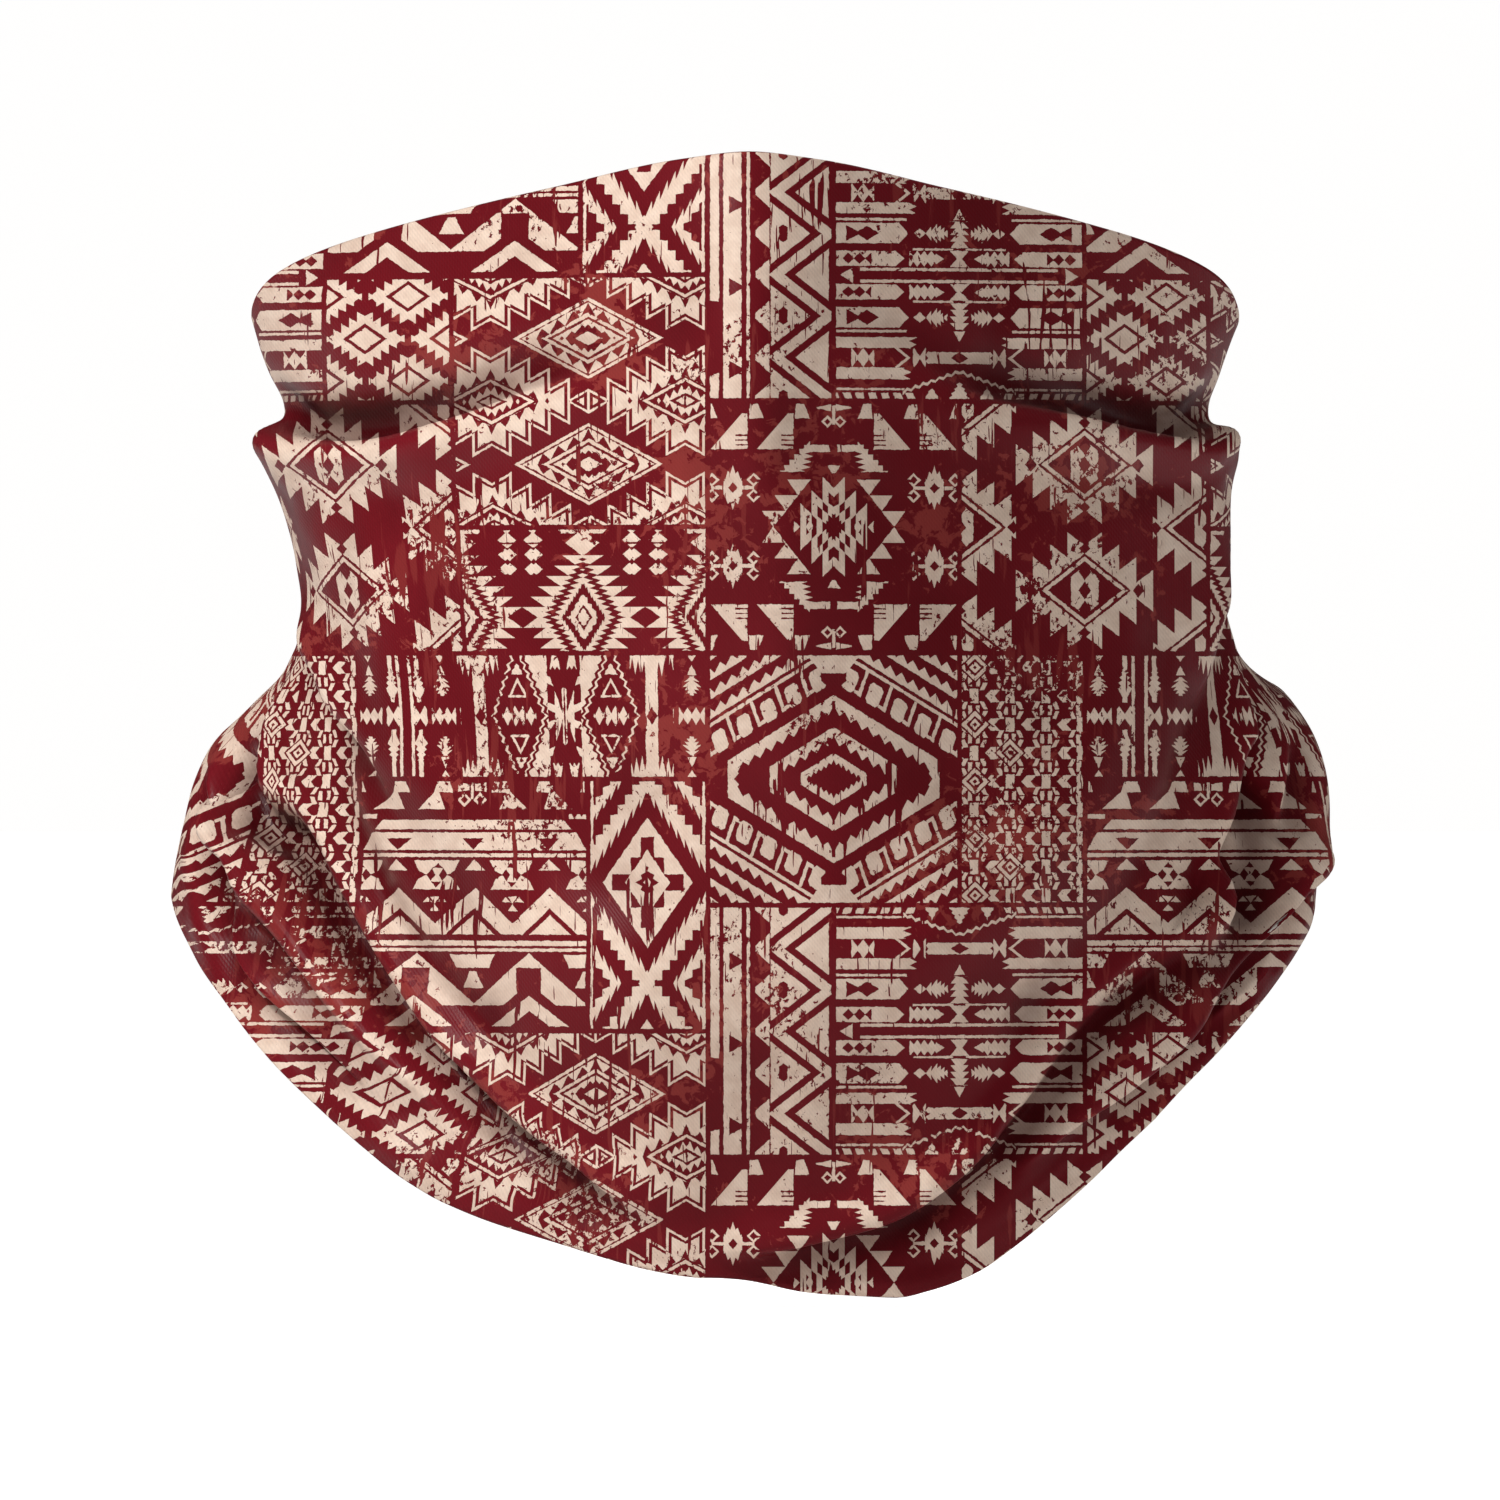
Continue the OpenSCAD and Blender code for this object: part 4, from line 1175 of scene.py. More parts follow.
def print_group():
    """Node group: print coordinates in mm to the edge measure of the cream ink, negative inside the ink."""
    g = bpy.data.node_groups.new("patchwork_print", "ShaderNodeTree")
    g.interface.new_socket("Place", in_out="INPUT", socket_type="NodeSocketVector")
    g.interface.new_socket("Edge", in_out="OUTPUT", socket_type="NodeSocketFloat")
    t = Tree(g)
    gi = t.node("NodeGroupInput")
    x, y, _ = t.split(gi.outputs[0])
    cx = t.math("MULTIPLY_ADD", x, 1 / CELL, PRINT_X / CELL)
    cy = t.math("MULTIPLY_ADD", y, -1 / CELL, PRINT_Z / CELL)
    total = None
    for k, p in enumerate(motifs(Ex("IN_X"), Ex("IN_Y"))):
        n = t.node("ShaderNodeGroup")
        n.node_tree = patch_group(k + 1, p)
        t.put(n.inputs[0], cx)
        t.put(n.inputs[1], cy)
        total = n.outputs[0] if total is None else t.math("MINIMUM", total, n.outputs[0])
    go = t.node("NodeGroupOutput")
    g.links.new(total, go.inputs[0])
    return g


PRINT = print_group()


def place_socket(t):
    a = t.node("ShaderNodeAttribute", attribute_name="print_mm", attribute_type="GEOMETRY")
    return a.outputs["Vector"]


def ink_socket(t, place):
    n = t.node("ShaderNodeGroup")
    n.node_tree = PRINT
    t.put(n.inputs[0], place)
    return n.outputs[0]


def knit(t, place):
    """Height of the knit: fine slanted ribs crossed by the courses, in 0..1."""
    x, y, _ = t.split(place)
    slant = t.math("ADD", t.math("MULTIPLY", x, 0.94), t.math("MULTIPLY", y, 0.72))
    rib = t.math("MULTIPLY", t.math("PINGPONG", slant, 0.30), 1 / 0.30)
    wale = t.math("MULTIPLY", t.math("PINGPONG", t.math("ADD", x, t.math("MULTIPLY", rib, 0.06)), 0.21), 1 / 0.21)
    fuzz = t.noise(place, 3.1, 2.0, 0.6)
    h = t.math("MULTIPLY_ADD", wale, 0.35, t.math("MULTIPLY", rib, 0.65))
    return t.math("MULTIPLY_ADD", fuzz, 0.5, h), fuzz


def printed_jersey():
    m, t, b = new_material("printed_jersey")
    raw = place_socket(t)
    rx, ry, relief_shading = t.split(raw)
    place = t.join(rx, ry)
    f = ink_socket(t, place)
    x, y, _ = t.split(place)
    # wear: broad patches decide where, fine speckle and dry vertical drips decide the shape
    where = t.noise(place, 0.030, 3.0, 0.55)
    speck = t.noise(t.join(x, t.math("MULTIPLY", y, 0.75)), 0.95, 4.0, 0.68, 0.4)
    drip = t.noise(t.join(t.math("MULTIPLY", x, 1.0), t.math("MULTIPLY", y, 0.085)), 0.62, 3.0, 0.6, 0.25)
    drip2 = t.noise(t.join(t.math("MULTIPLY_ADD", x, 1.0, 37.0), t.math("MULTIPLY", y, 0.06)), 1.7, 2.0, 0.55, 0.1)
    where_d = t.noise(t.join(x, y, 40.0), 0.055, 2.0, 0.5)
    # edge of the ink, slightly dry
    rough_edge = t.math("MULTIPLY_ADD", speck, 0.030, -0.015)
    f = t.math("ADD", f, rough_edge)
    ink = t.math("LESS_THAN", f, 0.0)
    level = t.math("MULTIPLY_ADD", where, 0.95, speck)
    chips = t.math("GREATER_THAN", level, 1.105)
    level_d = t.math("MULTIPLY_ADD", where_d, 0.42, drip)
    runs = t.math("GREATER_THAN", level_d, 0.872)
    hair = t.math("GREATER_THAN", t.math("MULTIPLY_ADD", where_d, 0.30, drip2), 0.852)
    torn = t.math("MAXIMUM", t.math("MAXIMUM", chips, runs), hair)
    ink = t.math("MULTIPLY", ink, t.math("SUBTRACT", 1.0, torn))
    # faded brick-red stains on the ground colour
    stain_where = t.noise(t.join(x, y, 90.0), 0.034, 2.0, 0.5)
    stain_speck = t.noise(t.join(x, y, 17.0), 0.42, 5.0, 0.62, 0.6)
    stain = t.remap(t.math("MULTIPLY_ADD", stain_where, 1.25, stain_speck), 1.265, 1.30)
    stain2 = t.remap(t.math("MULTIPLY_ADD", drip, 1.0, where), 1.15, 1.21, 0.0, 0.55)
    stain = t.math("MAXIMUM", stain, stain2)
    weave, fuzz = knit(t, place)
    slow = t.noise(place, 0.018, 2.0, 0.5)
    mottled = t.noise(place, 0.35, 3.0, 0.6)
    ground = t.mix(t.remap(slow, 0.3, 0.7), (0.125, 0.0048, 0.0088), (0.165, 0.0072, 0.0130))
    ground = t.mix(t.math("MULTIPLY", stain, 0.8), ground, (0.265, 0.037, 0.032))
    cream = t.mix(t.remap(mottled, 0.3, 0.7), (0.700, 0.520, 0.415), (0.800, 0.630, 0.515))
    col = t.mix(ink, ground, cream)
    shade = t.math("MULTIPLY_ADD", weave, 0.13, 0.875)
    col = t.mix(1.0, col, t.join(shade, shade, shade), "MULTIPLY")
    # painted shade: the colour is darkened in the cloth's hollows and fold cavities
    hollow = t.math("MAXIMUM", relief_shading, 0.0)
    ridge = t.math("MAXIMUM", t.math("MULTIPLY", relief_shading, -1.0), 0.0)
    col = t.mix(t.math("MULTIPLY", hollow, 0.85), col, t.mix(1.0, col, (0.28, 0.22, 0.22), "MULTIPLY"))
    # painted highlight: the colour is lightened on the ridges of the folds
    col = t.mix(t.math("MULTIPLY", ridge, 0.5), col, t.mix(1.0, col, (1.22, 1.26, 1.26), "MULTIPLY"))
    t.put(b.inputs["Base Color"], col)
    rough = t.math("MULTIPLY_ADD", ink, 0.06, t.math("MULTIPLY_ADD", fuzz, 0.12, 0.31))
    t.put(b.inputs["Roughness"], rough)
    b.inputs["Specular IOR Level"].default_value = 0.09
    b.inputs["Sheen Weight"].default_value = 0.025
    b.inputs["Sheen Roughness"].default_value = 0.45
    b.inputs["Sheen Tint"].default_value = (1, 0.93, 0.9, 1)
    t.put(b.inputs["Normal"], t.bump(weave, 0.22, 0.00012))
    return m


def jersey_reverse():
    m, t, b = new_material("jersey_reverse")
    place = place_socket(t)
    x, y, _ = t.split(place)
    f = ink_socket(t, place)
    through = t.math("LESS_THAN", f, 0.0)
    weave, fuzz = knit(t, place)
    soil = t.noise(place, 0.05, 3.0, 0.6)
    blank = t.mix(t.remap(soil, 0.35, 0.7), (0.70, 0.62, 0.56), (0.76, 0.69, 0.64))
    tinted = t.mix(0.30, blank, (0.42, 0.14, 0.14))
    col = t.mix(through, tinted, blank)
    shade = t.math("MULTIPLY_ADD", weave, 0.16, 0.85)
    col = t.mix(1.0, col, t.join(shade, shade, shade), "MULTIPLY")
    t.put(b.inputs["Base Color"], col)
    t.put(b.inputs["Roughness"], t.math("MULTIPLY_ADD", fuzz, 0.15, 0.68))
    b.inputs["Specular IOR Level"].default_value = 0.25
    b.inputs["Sheen Weight"].default_value = 0.3
    b.inputs["Sheen Roughness"].default_value = 0.5
    t.put(b.inputs["Normal"], t.bump(weave, 0.35, 0.00014))
    return m


def thread_material(name, dark, light, ply):
    """Twisted sewing thread: the attribute runs along the thread (mm) and round it (turns)."""
    m, t, b = new_material(name)
    place = place_socket(t)
    x, y, _ = t.split(place)
    twist = t.math("MULTIPLY", t.math("PINGPONG", t.math("MULTIPLY_ADD", x, 1 / ply, t.math("MULTIPLY", y, 2.0)), 0.5), 2.0)
    lint = t.noise(place, 2.2, 3.0, 0.6)
    # the tone follows the twist: painted shade in the grooves between the plies, painted highlight on their crests,
    # with random lint
    col = t.mix(t.math("MULTIPLY_ADD", lint, 0.35, t.math("MULTIPLY", twist, 0.65)), dark, light)
    t.put(b.inputs["Base Color"], col)
    t.put(b.inputs["Roughness"], t.math("MULTIPLY_ADD", lint, 0.2, 0.34))
    b.inputs["Sheen Weight"].default_value = 0.2
    b.inputs["Specular IOR Level"].default_value = 0.5
    t.put(b.inputs["Normal"], t.bump(twist, 0.6, 0.00008))
    return m


def label_material():
    """Blank woven satin tape with a slightly denser border."""
    m, t, b = new_material("label_tape")
    place = place_socket(t)
    x, y, _ = t.split(place)
    warp = t.math("MULTIPLY", t.math("PINGPONG", x, 0.09), 1 / 0.09)
    weft = t.math("MULTIPLY", t.math("PINGPONG", y, 0.16), 1 / 0.16)
    h = t.math("MULTIPLY_ADD", warp, 0.7, t.math("MULTIPLY", weft, 0.3))
    fray = t.noise(place, 0.5, 3.0, 0.6)
    edge = t.remap(t.math("ABSOLUTE", y), 8.1, 8.5, 0.0, 0.6)
    col = t.mix(t.math("MULTIPLY_ADD", h, 0.5, t.math("MULTIPLY", fray, 0.4)), (0.70, 0.68, 0.63), (0.87, 0.86, 0.82))
    col = t.mix(edge, col, (0.62, 0.58, 0.54))
    t.put(b.inputs["Base Color"], col)
    t.put(b.inputs["Roughness"], t.math("MULTIPLY_ADD", fray, 0.2, 0.30))
    b.inputs["Sheen Weight"].default_value = 0.15
    b.inputs["Anisotropic"].default_value = 0.4
    t.put(b.inputs["Normal"], t.bump(h, 0.4, 0.00008))
    return m


M_PRINT = printed_jersey()
M_BACK = jersey_reverse()
M_THREAD = thread_material("sewing_thread", (0.12, 0.008, 0.012), (0.34, 0.045, 0.05), 0.55)
M_LABEL = label_material()
M_LABEL_THREAD = thread_material("label_thread", (0.5, 0.48, 0.44), (0.85, 0.83, 0.79), 0.5)

# ------------------------------------------------------------------ the smaller pieces
NRM = grid_normals(OUT)


def finish_piece(ob, mats, nodes, body=None, blend=None):
    for m in mats:
        ob.data.materials.append(m)
    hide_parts(*nodes)
    if blend:
        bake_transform(ob)
    else:
        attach(ob, body)


def plane_point(direction, value):
    """Frame position, in metres, where the direction's measure of the design space equals value."""
    d = np.array(direction, float)
    d /= np.linalg.norm(d)
    q = to_frame((d * value)[None])[0]
    return tuple(q)


UP_DIR = (0, -0.707, 0.707)
LOW_DIR = (0, 0.3, -0.954)
FACE_BLEND = ("neck_wrap", "face_cover", plane_point(UP_DIR, 81), plane_point(UP_DIR, 200))
COLLAR_BLEND = ("neck_wrap", "lower_hem", plane_point(LOW_DIR, -66), plane_point(LOW_DIR, -42))


def near_edge(distances, top):
    """Points at given distances (mm) down from the upper edge, or up from the lower edge, on every column."""
    p = OUT[::-1] if top else OUT
    n = NRM[::-1] if top else NRM
    u = U_MM[::-1] if top else U_MM
    v = V_MM[::-1] if top else V_MM
    p, n, u, v = p[:40], n[:40], u[:40], v[:40]
    step = np.linalg.norm(np.diff(p, axis=0), axis=-1)
    run = np.concatenate([np.zeros((1, p.shape[1])), np.cumsum(step, axis=0)])
    out_p = np.empty((len(distances), p.shape[1], 3))
    out_n = np.empty_like(out_p)
    out_u = np.empty(out_p.shape[:2])
    out_v = np.empty(out_p.shape[:2])
    for c in range(p.shape[1]):
        for k in range(3):
            out_p[:, c, k] = np.interp(distances, run[:, c], p[:, c, k])
            out_n[:, c, k] = np.interp(distances, run[:, c], n[:, c, k])
        out_u[:, c] = np.interp(distances, run[:, c], u[:, c])
        out_v[:, c] = np.interp(distances, run[:, c], v[:, c])
    out_n /= np.linalg.norm(out_n, axis=-1, keepdims=True)
    return out_p, out_n, out_u, out_v


def hem_ply(name, top):
    """The turned-in hem: it carries the cloth on from where the rolled edge ends, printed face inward."""
    ds = np.array([1.15, 1.6, 2.4, 3.4, 4.4, 5.4, 6.4, 7.2, 7.7, HEM])
    p, n, u, v = near_edge(ds, top)
    puff = np.array([0, 0.02, 0.08, 0.14, 0.16, 0.12, 0.04, 0.0, 0.03, 0.10])[:, None, None]
    wob = wave_noise(p, 31 if top else 32, 9)[..., None] * 0.05
    p = p - n * (1.56 + puff + np.abs(wob))
    edge_v = v[0] * 0 + (v[0] + (1.15 if top else -1.15))
    turned = edge_v[None] + (ds[:, None] if top else -ds[:, None])      # the print runs on past the fold
    if top:
        p, n, u, turned = p[::-1], n[::-1], u[::-1], turned[::-1]
    return sheet(name, p[:, ::-1], -n[:, ::-1], u[:, ::-1], turned[:, ::-1], CLOTH)


def tube(name, path, radius, sides=6, closed=False, flat=1.0, side_hint=None, caps=True):
    """Thread: a round tube along a path (mm), with running length and turn for the material."""
    path = np.asarray(path, float)
    n = len(path)
    t = np.gradient(path, axis=0)
    if closed:
        t = np.roll(path, -1, 0) - np.roll(path, 1, 0)
    t /= np.maximum(np.linalg.norm(t, axis=1, keepdims=True), 1e-9)
    a = np.zeros_like(t)
    ref = np.array(side_hint if side_hint is not None else (0.0, 0.0, 1.0))
    prev = ref - t[0] * (ref @ t[0])
    if np.linalg.norm(prev) < 1e-3:
        prev = np.cross(t[0], (1.0, 0.3, 0.0))
    for i in range(n):
        w = prev - t[i] * (prev @ t[i])
        w /= np.linalg.norm(w)
        a[i] = w
        prev = w
    b = np.cross(t, a)
    ang = np.arange(sides) * 2 * math.pi / sides
    ring = path[:, None] + radius * (np.cos(ang)[None, :, None] * a[:, None] + flat * np.sin(ang)[None, :, None] * b[:, None])
    run = np.concatenate([[0], np.cumsum(np.linalg.norm(np.diff(path, axis=0), axis=1))])
    co = ring.reshape(-1, 3)
    uv = np.stack([np.repeat(run, sides), np.tile(ang / (2 * math.pi), n), np.zeros(n * sides)], -1)
    faces = []
    last = n if closed else n - 1
    for i in range(last):
        j = (i + 1) % n
        for k in range(sides):
            l = (k + 1) % sides
            faces.append((i * sides + k, i * sides + l, j * sides + l, j * sides + k))
    if not closed and caps:
        faces.append(tuple(range(sides))[::-1])
        faces.append(tuple((n - 1) * sides + k for k in range(sides)))
    return co, faces, uv


def merge(name, parts):
    """One mesh from several closed (points, faces, attribute) parts."""
    co, faces, uv, base_i = [], [], [], 0
    for c, f, w in parts:
        co.append(c)
        uv.append(w)
        faces += [tuple(i + base_i for i in q) for q in f]
        base_i += len(c)
    co, uv = np.concatenate(co), np.concatenate(uv)
    me = bpy.data.meshes.new(name)
    me.from_pydata(to_frame(co).tolist(), [], faces)
    me.polygons.foreach_set("use_smooth", np.ones(len(faces), bool))
    at = me.attributes.new("print_mm", "FLOAT_VECTOR", "POINT")
    at.data.foreach_set("vector", uv.astype(np.float32).ravel())
    me.update()
    bm = bmesh.new()
    bm.from_mesh(me)
    bmesh.ops.recalc_face_normals(bm, faces=bm.faces)
    bm.to_mesh(me)
    bm.free()
    ob = bpy.data.objects.new(name, me)
    bpy.context.scene.collection.objects.link(ob)
    return ob


def hem_stitches(name, top, pitch=3.4):
    """Blind-stitch thread: a running zigzag that hops over the free edge of the turned-in hem."""
    ds = np.array([5.9, 6.5, 7.1, 7.7, 8.15, 8.6, 9.2])
    p, n, _, _ = near_edge(ds, top)
    mid = p[3]
    run = np.concatenate([[0], np.cumsum(np.linalg.norm(np.diff(mid, axis=0), axis=1))])
    total = run[-1]
    count = int(total / pitch)
    pts = []
    r = 0.14
    # one hop: down over the edge of the hem, a bite in the cloth, and back up
    shape = [(0.00, 5.9, 2.30), (0.14, 6.6, 2.42), (0.30, 7.5, 2.40), (0.42, 8.1, 2.05), (0.50, 8.7, 0.92),
             (0.58, 8.1, 2.05), (0.70, 7.5, 2.40), (0.86, 6.6, 2.42)]
    rs = np.random.RandomState(41 if top else 42)
    for k in range(count):
        jit = rs.normal(scale=0.05, size=2)
        for s, d, depth in shape:
            x = (k + 0.3 + s) * total / (count + 0.6)
            c = np.interp(x, run, np.arange(len(run)))
            i = int(min(c, len(run) - 2))
            f = c - i
            col = p[:, i] * (1 - f) + p[:, i + 1] * f
            nn = n[:, i] * (1 - f) + n[:, i + 1] * f
            q = np.array([np.interp(d + jit[0], ds, col[:, m]) for m in range(3)])
            w = np.array([np.interp(d, ds, nn[:, m]) for m in range(3)])
            w /= np.linalg.norm(w)
            pts.append(q - w * (depth + r * 0.4))
    pts = np.array(pts)
    # the thread settles into soft curves
    for _ in range(2):
        pts[1:-1] = pts[1:-1] * 0.7 + (pts[:-2] + pts[2:]) * 0.15
    co, faces, uv = tube(name, pts, r, 6)
    return merge(name, [(co, faces, uv)])


# ---- the back seam, pressed open
SEAM_LV = LV[(LV > -0.82) & (LV < 0.74)]
SEAM_ROWS = np.where((LV > -0.82) & (LV < 0.74))[0]


def back_line(x):
    """Along the back seam, x mm to the +X side: y and z per grid row, bridging the hollows between folds."""
    key = round(float(x), 4)
    if key not in LINES:
        half = OUT[:, 200:][:, ::-1] if x >= 0 else OUT[:, :201]
        low = BASE[:, 200:][:, ::-1] if x >= 0 else BASE[:, :201]
        y = np.array([np.interp(abs(x), np.abs(low[r, :30, 0]), half[r, :30, 1]) for r in range(len(LV))])
        deep = np.min([np.concatenate([np.full(max(k, 0), y[0]), y, np.full(max(-k, 0), y[-1])])[max(-k, 0):][:len(y)]
                       for k in range(-6, 7)], axis=0)
        for _ in range(6):
            deep[1:-1] = (deep[:-2] + deep[1:-1] + deep[2:]) / 3
        LINES[key] = (np.minimum(deep, y), low[:, 0, 2])
    return LINES[key]


LINES = {}


def back_point(row, x, depth):
    """A point near the back seam, depth mm inside the cloth's face."""
    y, z = back_line(x)
    return np.array([x, y[row] - depth, z[row]])


def seam_allowance(name, sign):
    """Edge of the cloth turned in and pressed flat against the inside, printed face inward."""
    width = 5.0
    xs = np.array([0.22, 0.45, 0.9, 1.7, 2.6, 3.4, 4.2, width]) * sign
    rows = SEAM_ROWS[::1]
    P = np.empty((len(rows), len(xs), 3))
    N = np.empty_like(P)
    for i, r in enumerate(rows):
        for j, x in enumerate(xs):
            lift = 0.16 * math.sin(r * 0.55 + j * 0.4) * (j / len(xs)) ** 2
            P[i, j] = back_point(r, x, 1.66 + 0.10 * (j / len(xs)) ** 2 + abs(lift) + (0.18 if j == 0 else 0))
    a = np.gradient(P, axis=1) * sign
    b = np.gradient(P, axis=0)
    N = np.cross(a, b)
    N /= np.linalg.norm(N, axis=-1, keepdims=True)
    if N[..., 1].mean() > 0:
        N = -N
    U = np.abs(P[..., 0]) * -1 + U_MM[0, -1]
    V = P[..., 2]
    if sign < 0:
        P, N, U, V = P[:, ::-1], N[:, ::-1], U[:, ::-1], V[:, ::-1]
    return sheet(name, P, N, U, V, CLOTH * 0.95)


def seam_path(x, depth, step, wave=0.0):
    zs = BASE[SEAM_ROWS, -1, 2]
    rows = np.interp(np.arange(zs[0] + 1.5, zs[-1] - 1.5, step), zs, SEAM_ROWS)
    out = []
    for k, r in enumerate(rows):
        i = int(r)
        f = r - i
        q = back_point(i, x, depth) * (1 - f) + back_point(min(i + 1, len(LV) - 1), x, depth) * f
        out.append(q)
    return np.array(out)


def needle_thread(name, sign):
    """Needle thread: short stitches lying on the inside of the seam, each dipping at its holes."""
    base_p = seam_path(2.6 * sign, 2.56, 0.28)
    k = np.arange(len(base_p))
    phase = (k % 9) / 9.0
    dip = np.where(phase < 0.5, 0.0, 0.0) + 0.26 * (np.abs(np.sin(math.pi * phase)) ** 0.5)
    base_p[:, 1] -= dip - 0.14
    return merge(name, [tube(name, base_p, 0.15, 6)])


def looper_thread(name):
    """Looper thread: a flat zigzag across the seam between the needle rows."""
    step = 0.62
    l = seam_path(2.35, 2.78, step)
    r = seam_path(-2.35, 2.78, step)
    m = (l + r) / 2
    m[:, 1] -= 0.05
    pts = []
    n = min(len(l), len(r))
    for k in range(1, n - 1, 2):
        pts += [l[k], l[k] * 0.8 + r[k] * 0.2 + (0, -0.1, 0.12), m[k] + (0, -0.12, 0.3),
                r[k] * 0.8 + l[k] * 0.2 + (0, -0.1, 0.5), (r[k] + r[k + 1]) / 2,
                r[k + 1] * 0.8 + l[k + 1] * 0.2 + (0, -0.1, 0.12), m[k + 1] + (0, -0.12, 0.3),
                l[k + 1] * 0.8 + r[k + 1] * 0.2 + (0, -0.1, 0.5)]
    return merge(name, [tube(name, np.array(pts), 0.13, 6)])


def label_pose():
    """Position and directions of the label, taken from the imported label's own box."""
    a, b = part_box("care_label")
    lo_mm = (np.array(a) * 1000 - (X0, Y0, Z0)) / (SX, SY, SZ)
    hi_mm = (np.array(b) * 1000 - (X0, Y0, Z0)) / (SX, SY, SZ)
    return lo_mm, hi_mm


def care_label(name):
    """Blank tape folded in half, its two ends at the seam; slightly bowed and curled."""
    a, b = label_pose()
    turn = math.radians(-14)
    length = (b[0] - a[0]) / math.cos(turn) - 0.6
    root = np.array([a[0] + 0.25, b[1] - 0.75, (a[2] + b[2]) / 2])
    along = np.array([math.cos(turn), math.sin(turn), 0])
    out = np.array([math.sin(turn), -math.cos(turn), 0])         # towards the inside of the tube
    half = (b[2] - a[2]) / 2 - 0.3
    gap, tk = 0.42, 0.30
    prof = [(s * (length - 0.7), gap) for s in np.linspace(0, 1, 18)]
    prof += [(length - 0.7 + gap * math.sin(t), gap * math.cos(t)) for t in np.linspace(0.35, math.pi - 0.35, 7)]
    prof += [(s * (length - 0.7), -gap) for s in np.linspace(1, 0, 18)]
    prof = np.array(prof)
    zs = np.linspace(-half, half, 25)
    P = np.empty((len(zs), len(prof), 3))
    for i, z in enumerate(zs):
        for j, (s, g) in enumerate(prof):
            bow = 0.30 * math.sin(math.pi * s / length) + 0.16 * (s / length) ** 2 * math.cos(z * 0.35 + 0.5)
            P[i, j] = root + along * s + out * (g + bow * 0.8) + np.array([0, 0, z + 0.05 * math.sin(s * 0.9)])
    d1 = np.gradient(P, axis=1)
    d0 = np.gradient(P, axis=0)
    N = np.cross(d1, d0)
    N /= np.linalg.norm(N, axis=-1, keepdims=True)
    run = np.concatenate([[0], np.cumsum(np.linalg.norm(np.diff(prof, axis=0), axis=1))])
    U, V = np.meshgrid(run, zs)
    mid = len(prof) // 4
    if N[12, mid] @ out < 0:
        P, N, U, V = P[:, ::-1], -N[:, ::-1], U[:, ::-1], V[:, ::-1]
    return sheet(name, P, N, U, V, tk), root, along, out, half


def label_stitches(name, root, along, out, half):
    parts = []
    for k in range(5):
        z0 = -half + 1.2 + k * (2 * half - 2.4) / 5 + 0.35
        z1 = z0 + (2 * half - 2.4) / 5 - 0.7
        pts = []
        for t in np.linspace(0, 1, 9):
            lift = 0.28 * math.sin(math.pi * t) ** 0.5 if 0 < t < 1 else -0.05
            pts.append(root + along * (1.5 + 0.06 * math.sin(t * 5 + k)) + out * (0.50 + lift) + np.array([0, 0, z0 + (z1 - z0) * t]))
        parts.append(tube(name, np.array(pts), 0.14, 8, side_hint=(1, 0, 0)))
    return merge(name, parts)


top_ply = hem_ply("top_hem_inner", True)
bottom_ply = hem_ply("bottom_hem_inner", False)
top_thread = hem_stitches("top_hem_stitches", True)
bottom_thread = hem_stitches("bottom_hem_stitches", False)
allow_l = seam_allowance("seam_allowance_plus", 1)
allow_r = seam_allowance("seam_allowance_minus", -1)
needle_l = needle_thread("seam_needle_plus", 1)
needle_r = needle_thread("seam_needle_minus", -1)
looper = looper_thread("seam_looper")
label, lroot, lalong, lout, lhalf = care_label("blank_label")
label_thr = label_stitches("label_tack", lroot, lalong, lout, lhalf)

FABRIC = (M_PRINT, M_BACK)
finish_piece(face, FABRIC, ["face_panel"], blend=FACE_BLEND)
finish_piece(neck, FABRIC, ["neck_panel"], blend=COLLAR_BLEND)
finish_piece(drape, FABRIC, ["drape_panel"], blend=COLLAR_BLEND)
finish_piece(top_ply, FABRIC, ["top_hem_ply"], blend=FACE_BLEND)
finish_piece(bottom_ply, FABRIC, ["bottom_hem_ply"], blend=COLLAR_BLEND)
finish_piece(top_thread, [M_THREAD], ["top_hem_thread"], blend=FACE_BLEND)
finish_piece(bottom_thread, [M_THREAD], ["bottom_hem_thread"], blend=COLLAR_BLEND)
finish_piece(allow_l, FABRIC, ["seam_allowance_left"], blend=COLLAR_BLEND)
finish_piece(allow_r, FABRIC, ["seam_allowance_right"], blend=COLLAR_BLEND)
finish_piece(needle_l, [M_THREAD], ["seam_needle_thread_left"], blend=COLLAR_BLEND)
finish_piece(needle_r, [M_THREAD], ["seam_needle_thread_right"], blend=COLLAR_BLEND)
finish_piece(looper, [M_THREAD], ["seam_looper_thread"], blend=COLLAR_BLEND)
finish_piece(label, [M_LABEL, M_LABEL], ["care_label"], blend=COLLAR_BLEND)
finish_piece(label_thr, [M_LABEL_THREAD], ["care_label_thread"], blend=COLLAR_BLEND)

# ------------------------------------------------------------------ stage, light, camera
def soft_light(name, location, target, size, power, colour):
    data = bpy.data.lights.new(name, "AREA")
    data.shape = "RECTANGLE"
    data.size, data.size_y = size
    data.energy = power
    data.color = colour
    ob = bpy.data.objects.new(name, data)
    ob.location = location
    ob.rotation_euler = (Vector(target) - Vector(location)).to_track_quat("-Z", "Y").to_euler()
    bpy.context.scene.collection.objects.link(ob)
    return ob


centre = (lo + hi) / 2
bpy.context.scene.view_settings.view_transform = "Standard"
world = bpy.data.worlds.new("studio")
bpy.context.scene.world = world
world.use_nodes = True
wt = world.node_tree
bg = wt.nodes["Background"]
bg.inputs["Color"].default_value = (1.0, 0.995, 0.99, 1)
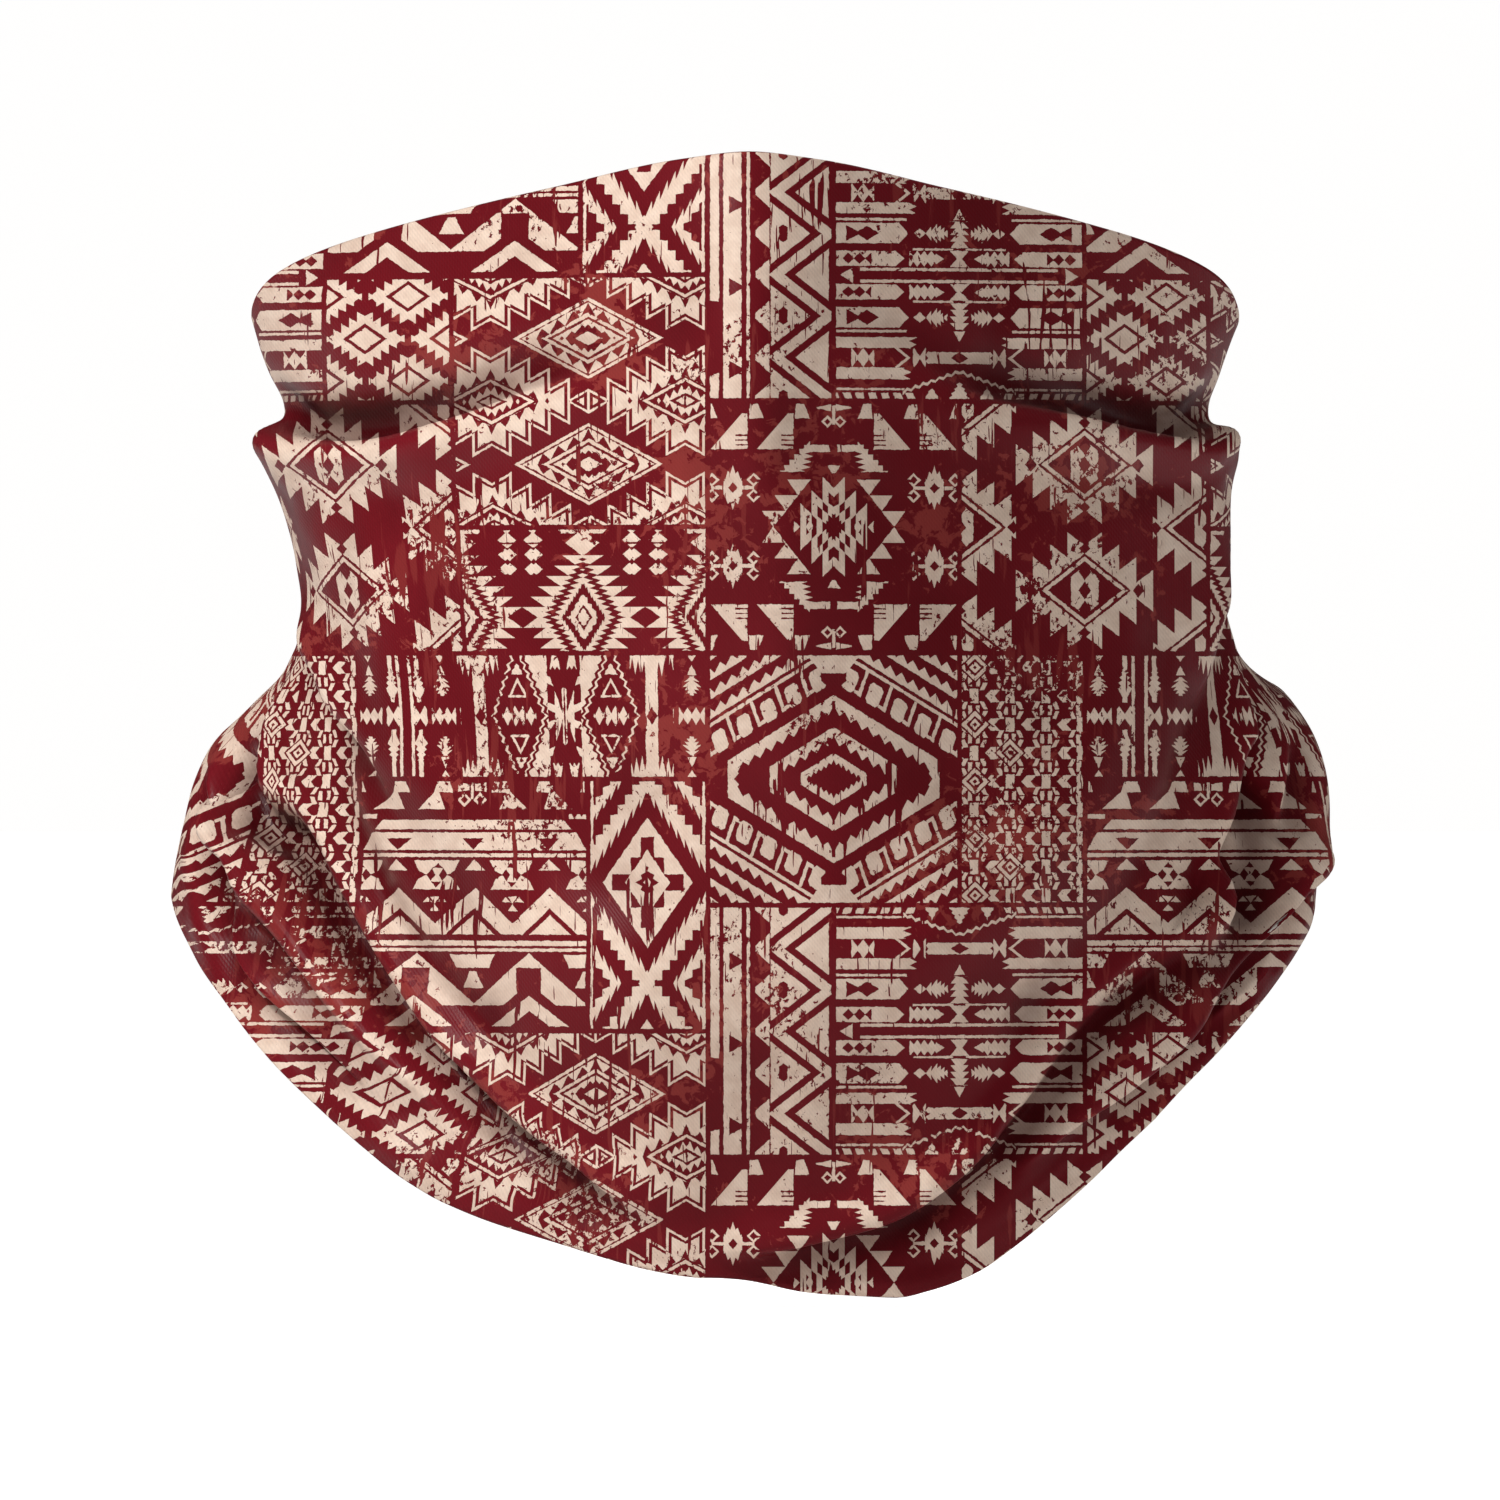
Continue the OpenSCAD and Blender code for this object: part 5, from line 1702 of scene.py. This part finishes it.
# the backdrop is seen paper white, and lights the cloth only softly
sight = wt.nodes.new("ShaderNodeLightPath")
seen = wt.nodes.new("ShaderNodeMapRange")
wt.links.new(sight.outputs["Is Camera Ray"], seen.inputs[0])
seen.inputs[3].default_value = 0.23
seen.inputs[4].default_value = 1.0
wt.links.new(seen.outputs[0], bg.inputs["Strength"])

me = bpy.data.meshes.new("floor")
g = 60.0
zf = lo.z - 0.0015
me.from_pydata([(-g, -g, zf), (g, -g, zf), (g, g, zf), (-g, g, zf)], [], [(0, 1, 2, 3)])
floor = bpy.data.objects.new("floor", me)
bpy.context.scene.collection.objects.link(floor)
fm = bpy.data.materials.new("pale_floor")
fm.use_nodes = True
fb = fm.node_tree.nodes["Principled BSDF"]
fb.inputs["Base Color"].default_value = (0.93, 0.93, 0.93, 1)
fb.inputs["Roughness"].default_value = 0.9
fb.inputs["Specular IOR Level"].default_value = 0.0
fs = fm.node_tree.nodes.new("ShaderNodeLightPath")
fv = fm.node_tree.nodes.new("ShaderNodeMath")
fv.operation = "MULTIPLY"
fv.inputs[1].default_value = 0.83
fm.node_tree.links.new(fs.outputs["Is Camera Ray"], fv.inputs[0])
fb.inputs["Emission Color"].default_value = (1, 1, 1, 1)
fm.node_tree.links.new(fv.outputs[0], fb.inputs["Emission Strength"])
me.materials.append(fm)

t = (centre.x, centre.y, centre.z)
soft_light("key", (-1.05, -0.95, 1.35), t, (0.30, 0.30), 27.5, (1.0, 0.985, 0.97))
front = soft_light("front", (0.25, -1.9, 0.55), t, (0.9, 0.9), 3.0, (0.99, 0.99, 1.0))
rim = soft_light("rim", (1.25, 0.75, 0.45), t, (0.5, 0.9), 3, (1, 1, 1))
# the fill lights leave no sheen on the cloth
front.visible_glossy = rim.visible_glossy = False
world.cycles_visibility.glossy = False

cam_data = bpy.data.cameras.new("camera")
cam_data.sensor_width = 36
cam_data.lens = 1500
wide = 0.250 * (hi.x - lo.x) / 0.1932
dist = wide * cam_data.lens / 36
cam = bpy.data.objects.new("camera", cam_data)
bpy.context.scene.collection.objects.link(cam)
mid_x = centre.x + 0.00027
mid_z = lo.z + 0.0908 * SZ
cam.location = (mid_x, centre.y - dist, mid_z)
cam.rotation_euler = (math.radians(90), 0, 0)
cam_data.clip_end = 200
bpy.context.scene.camera = cam
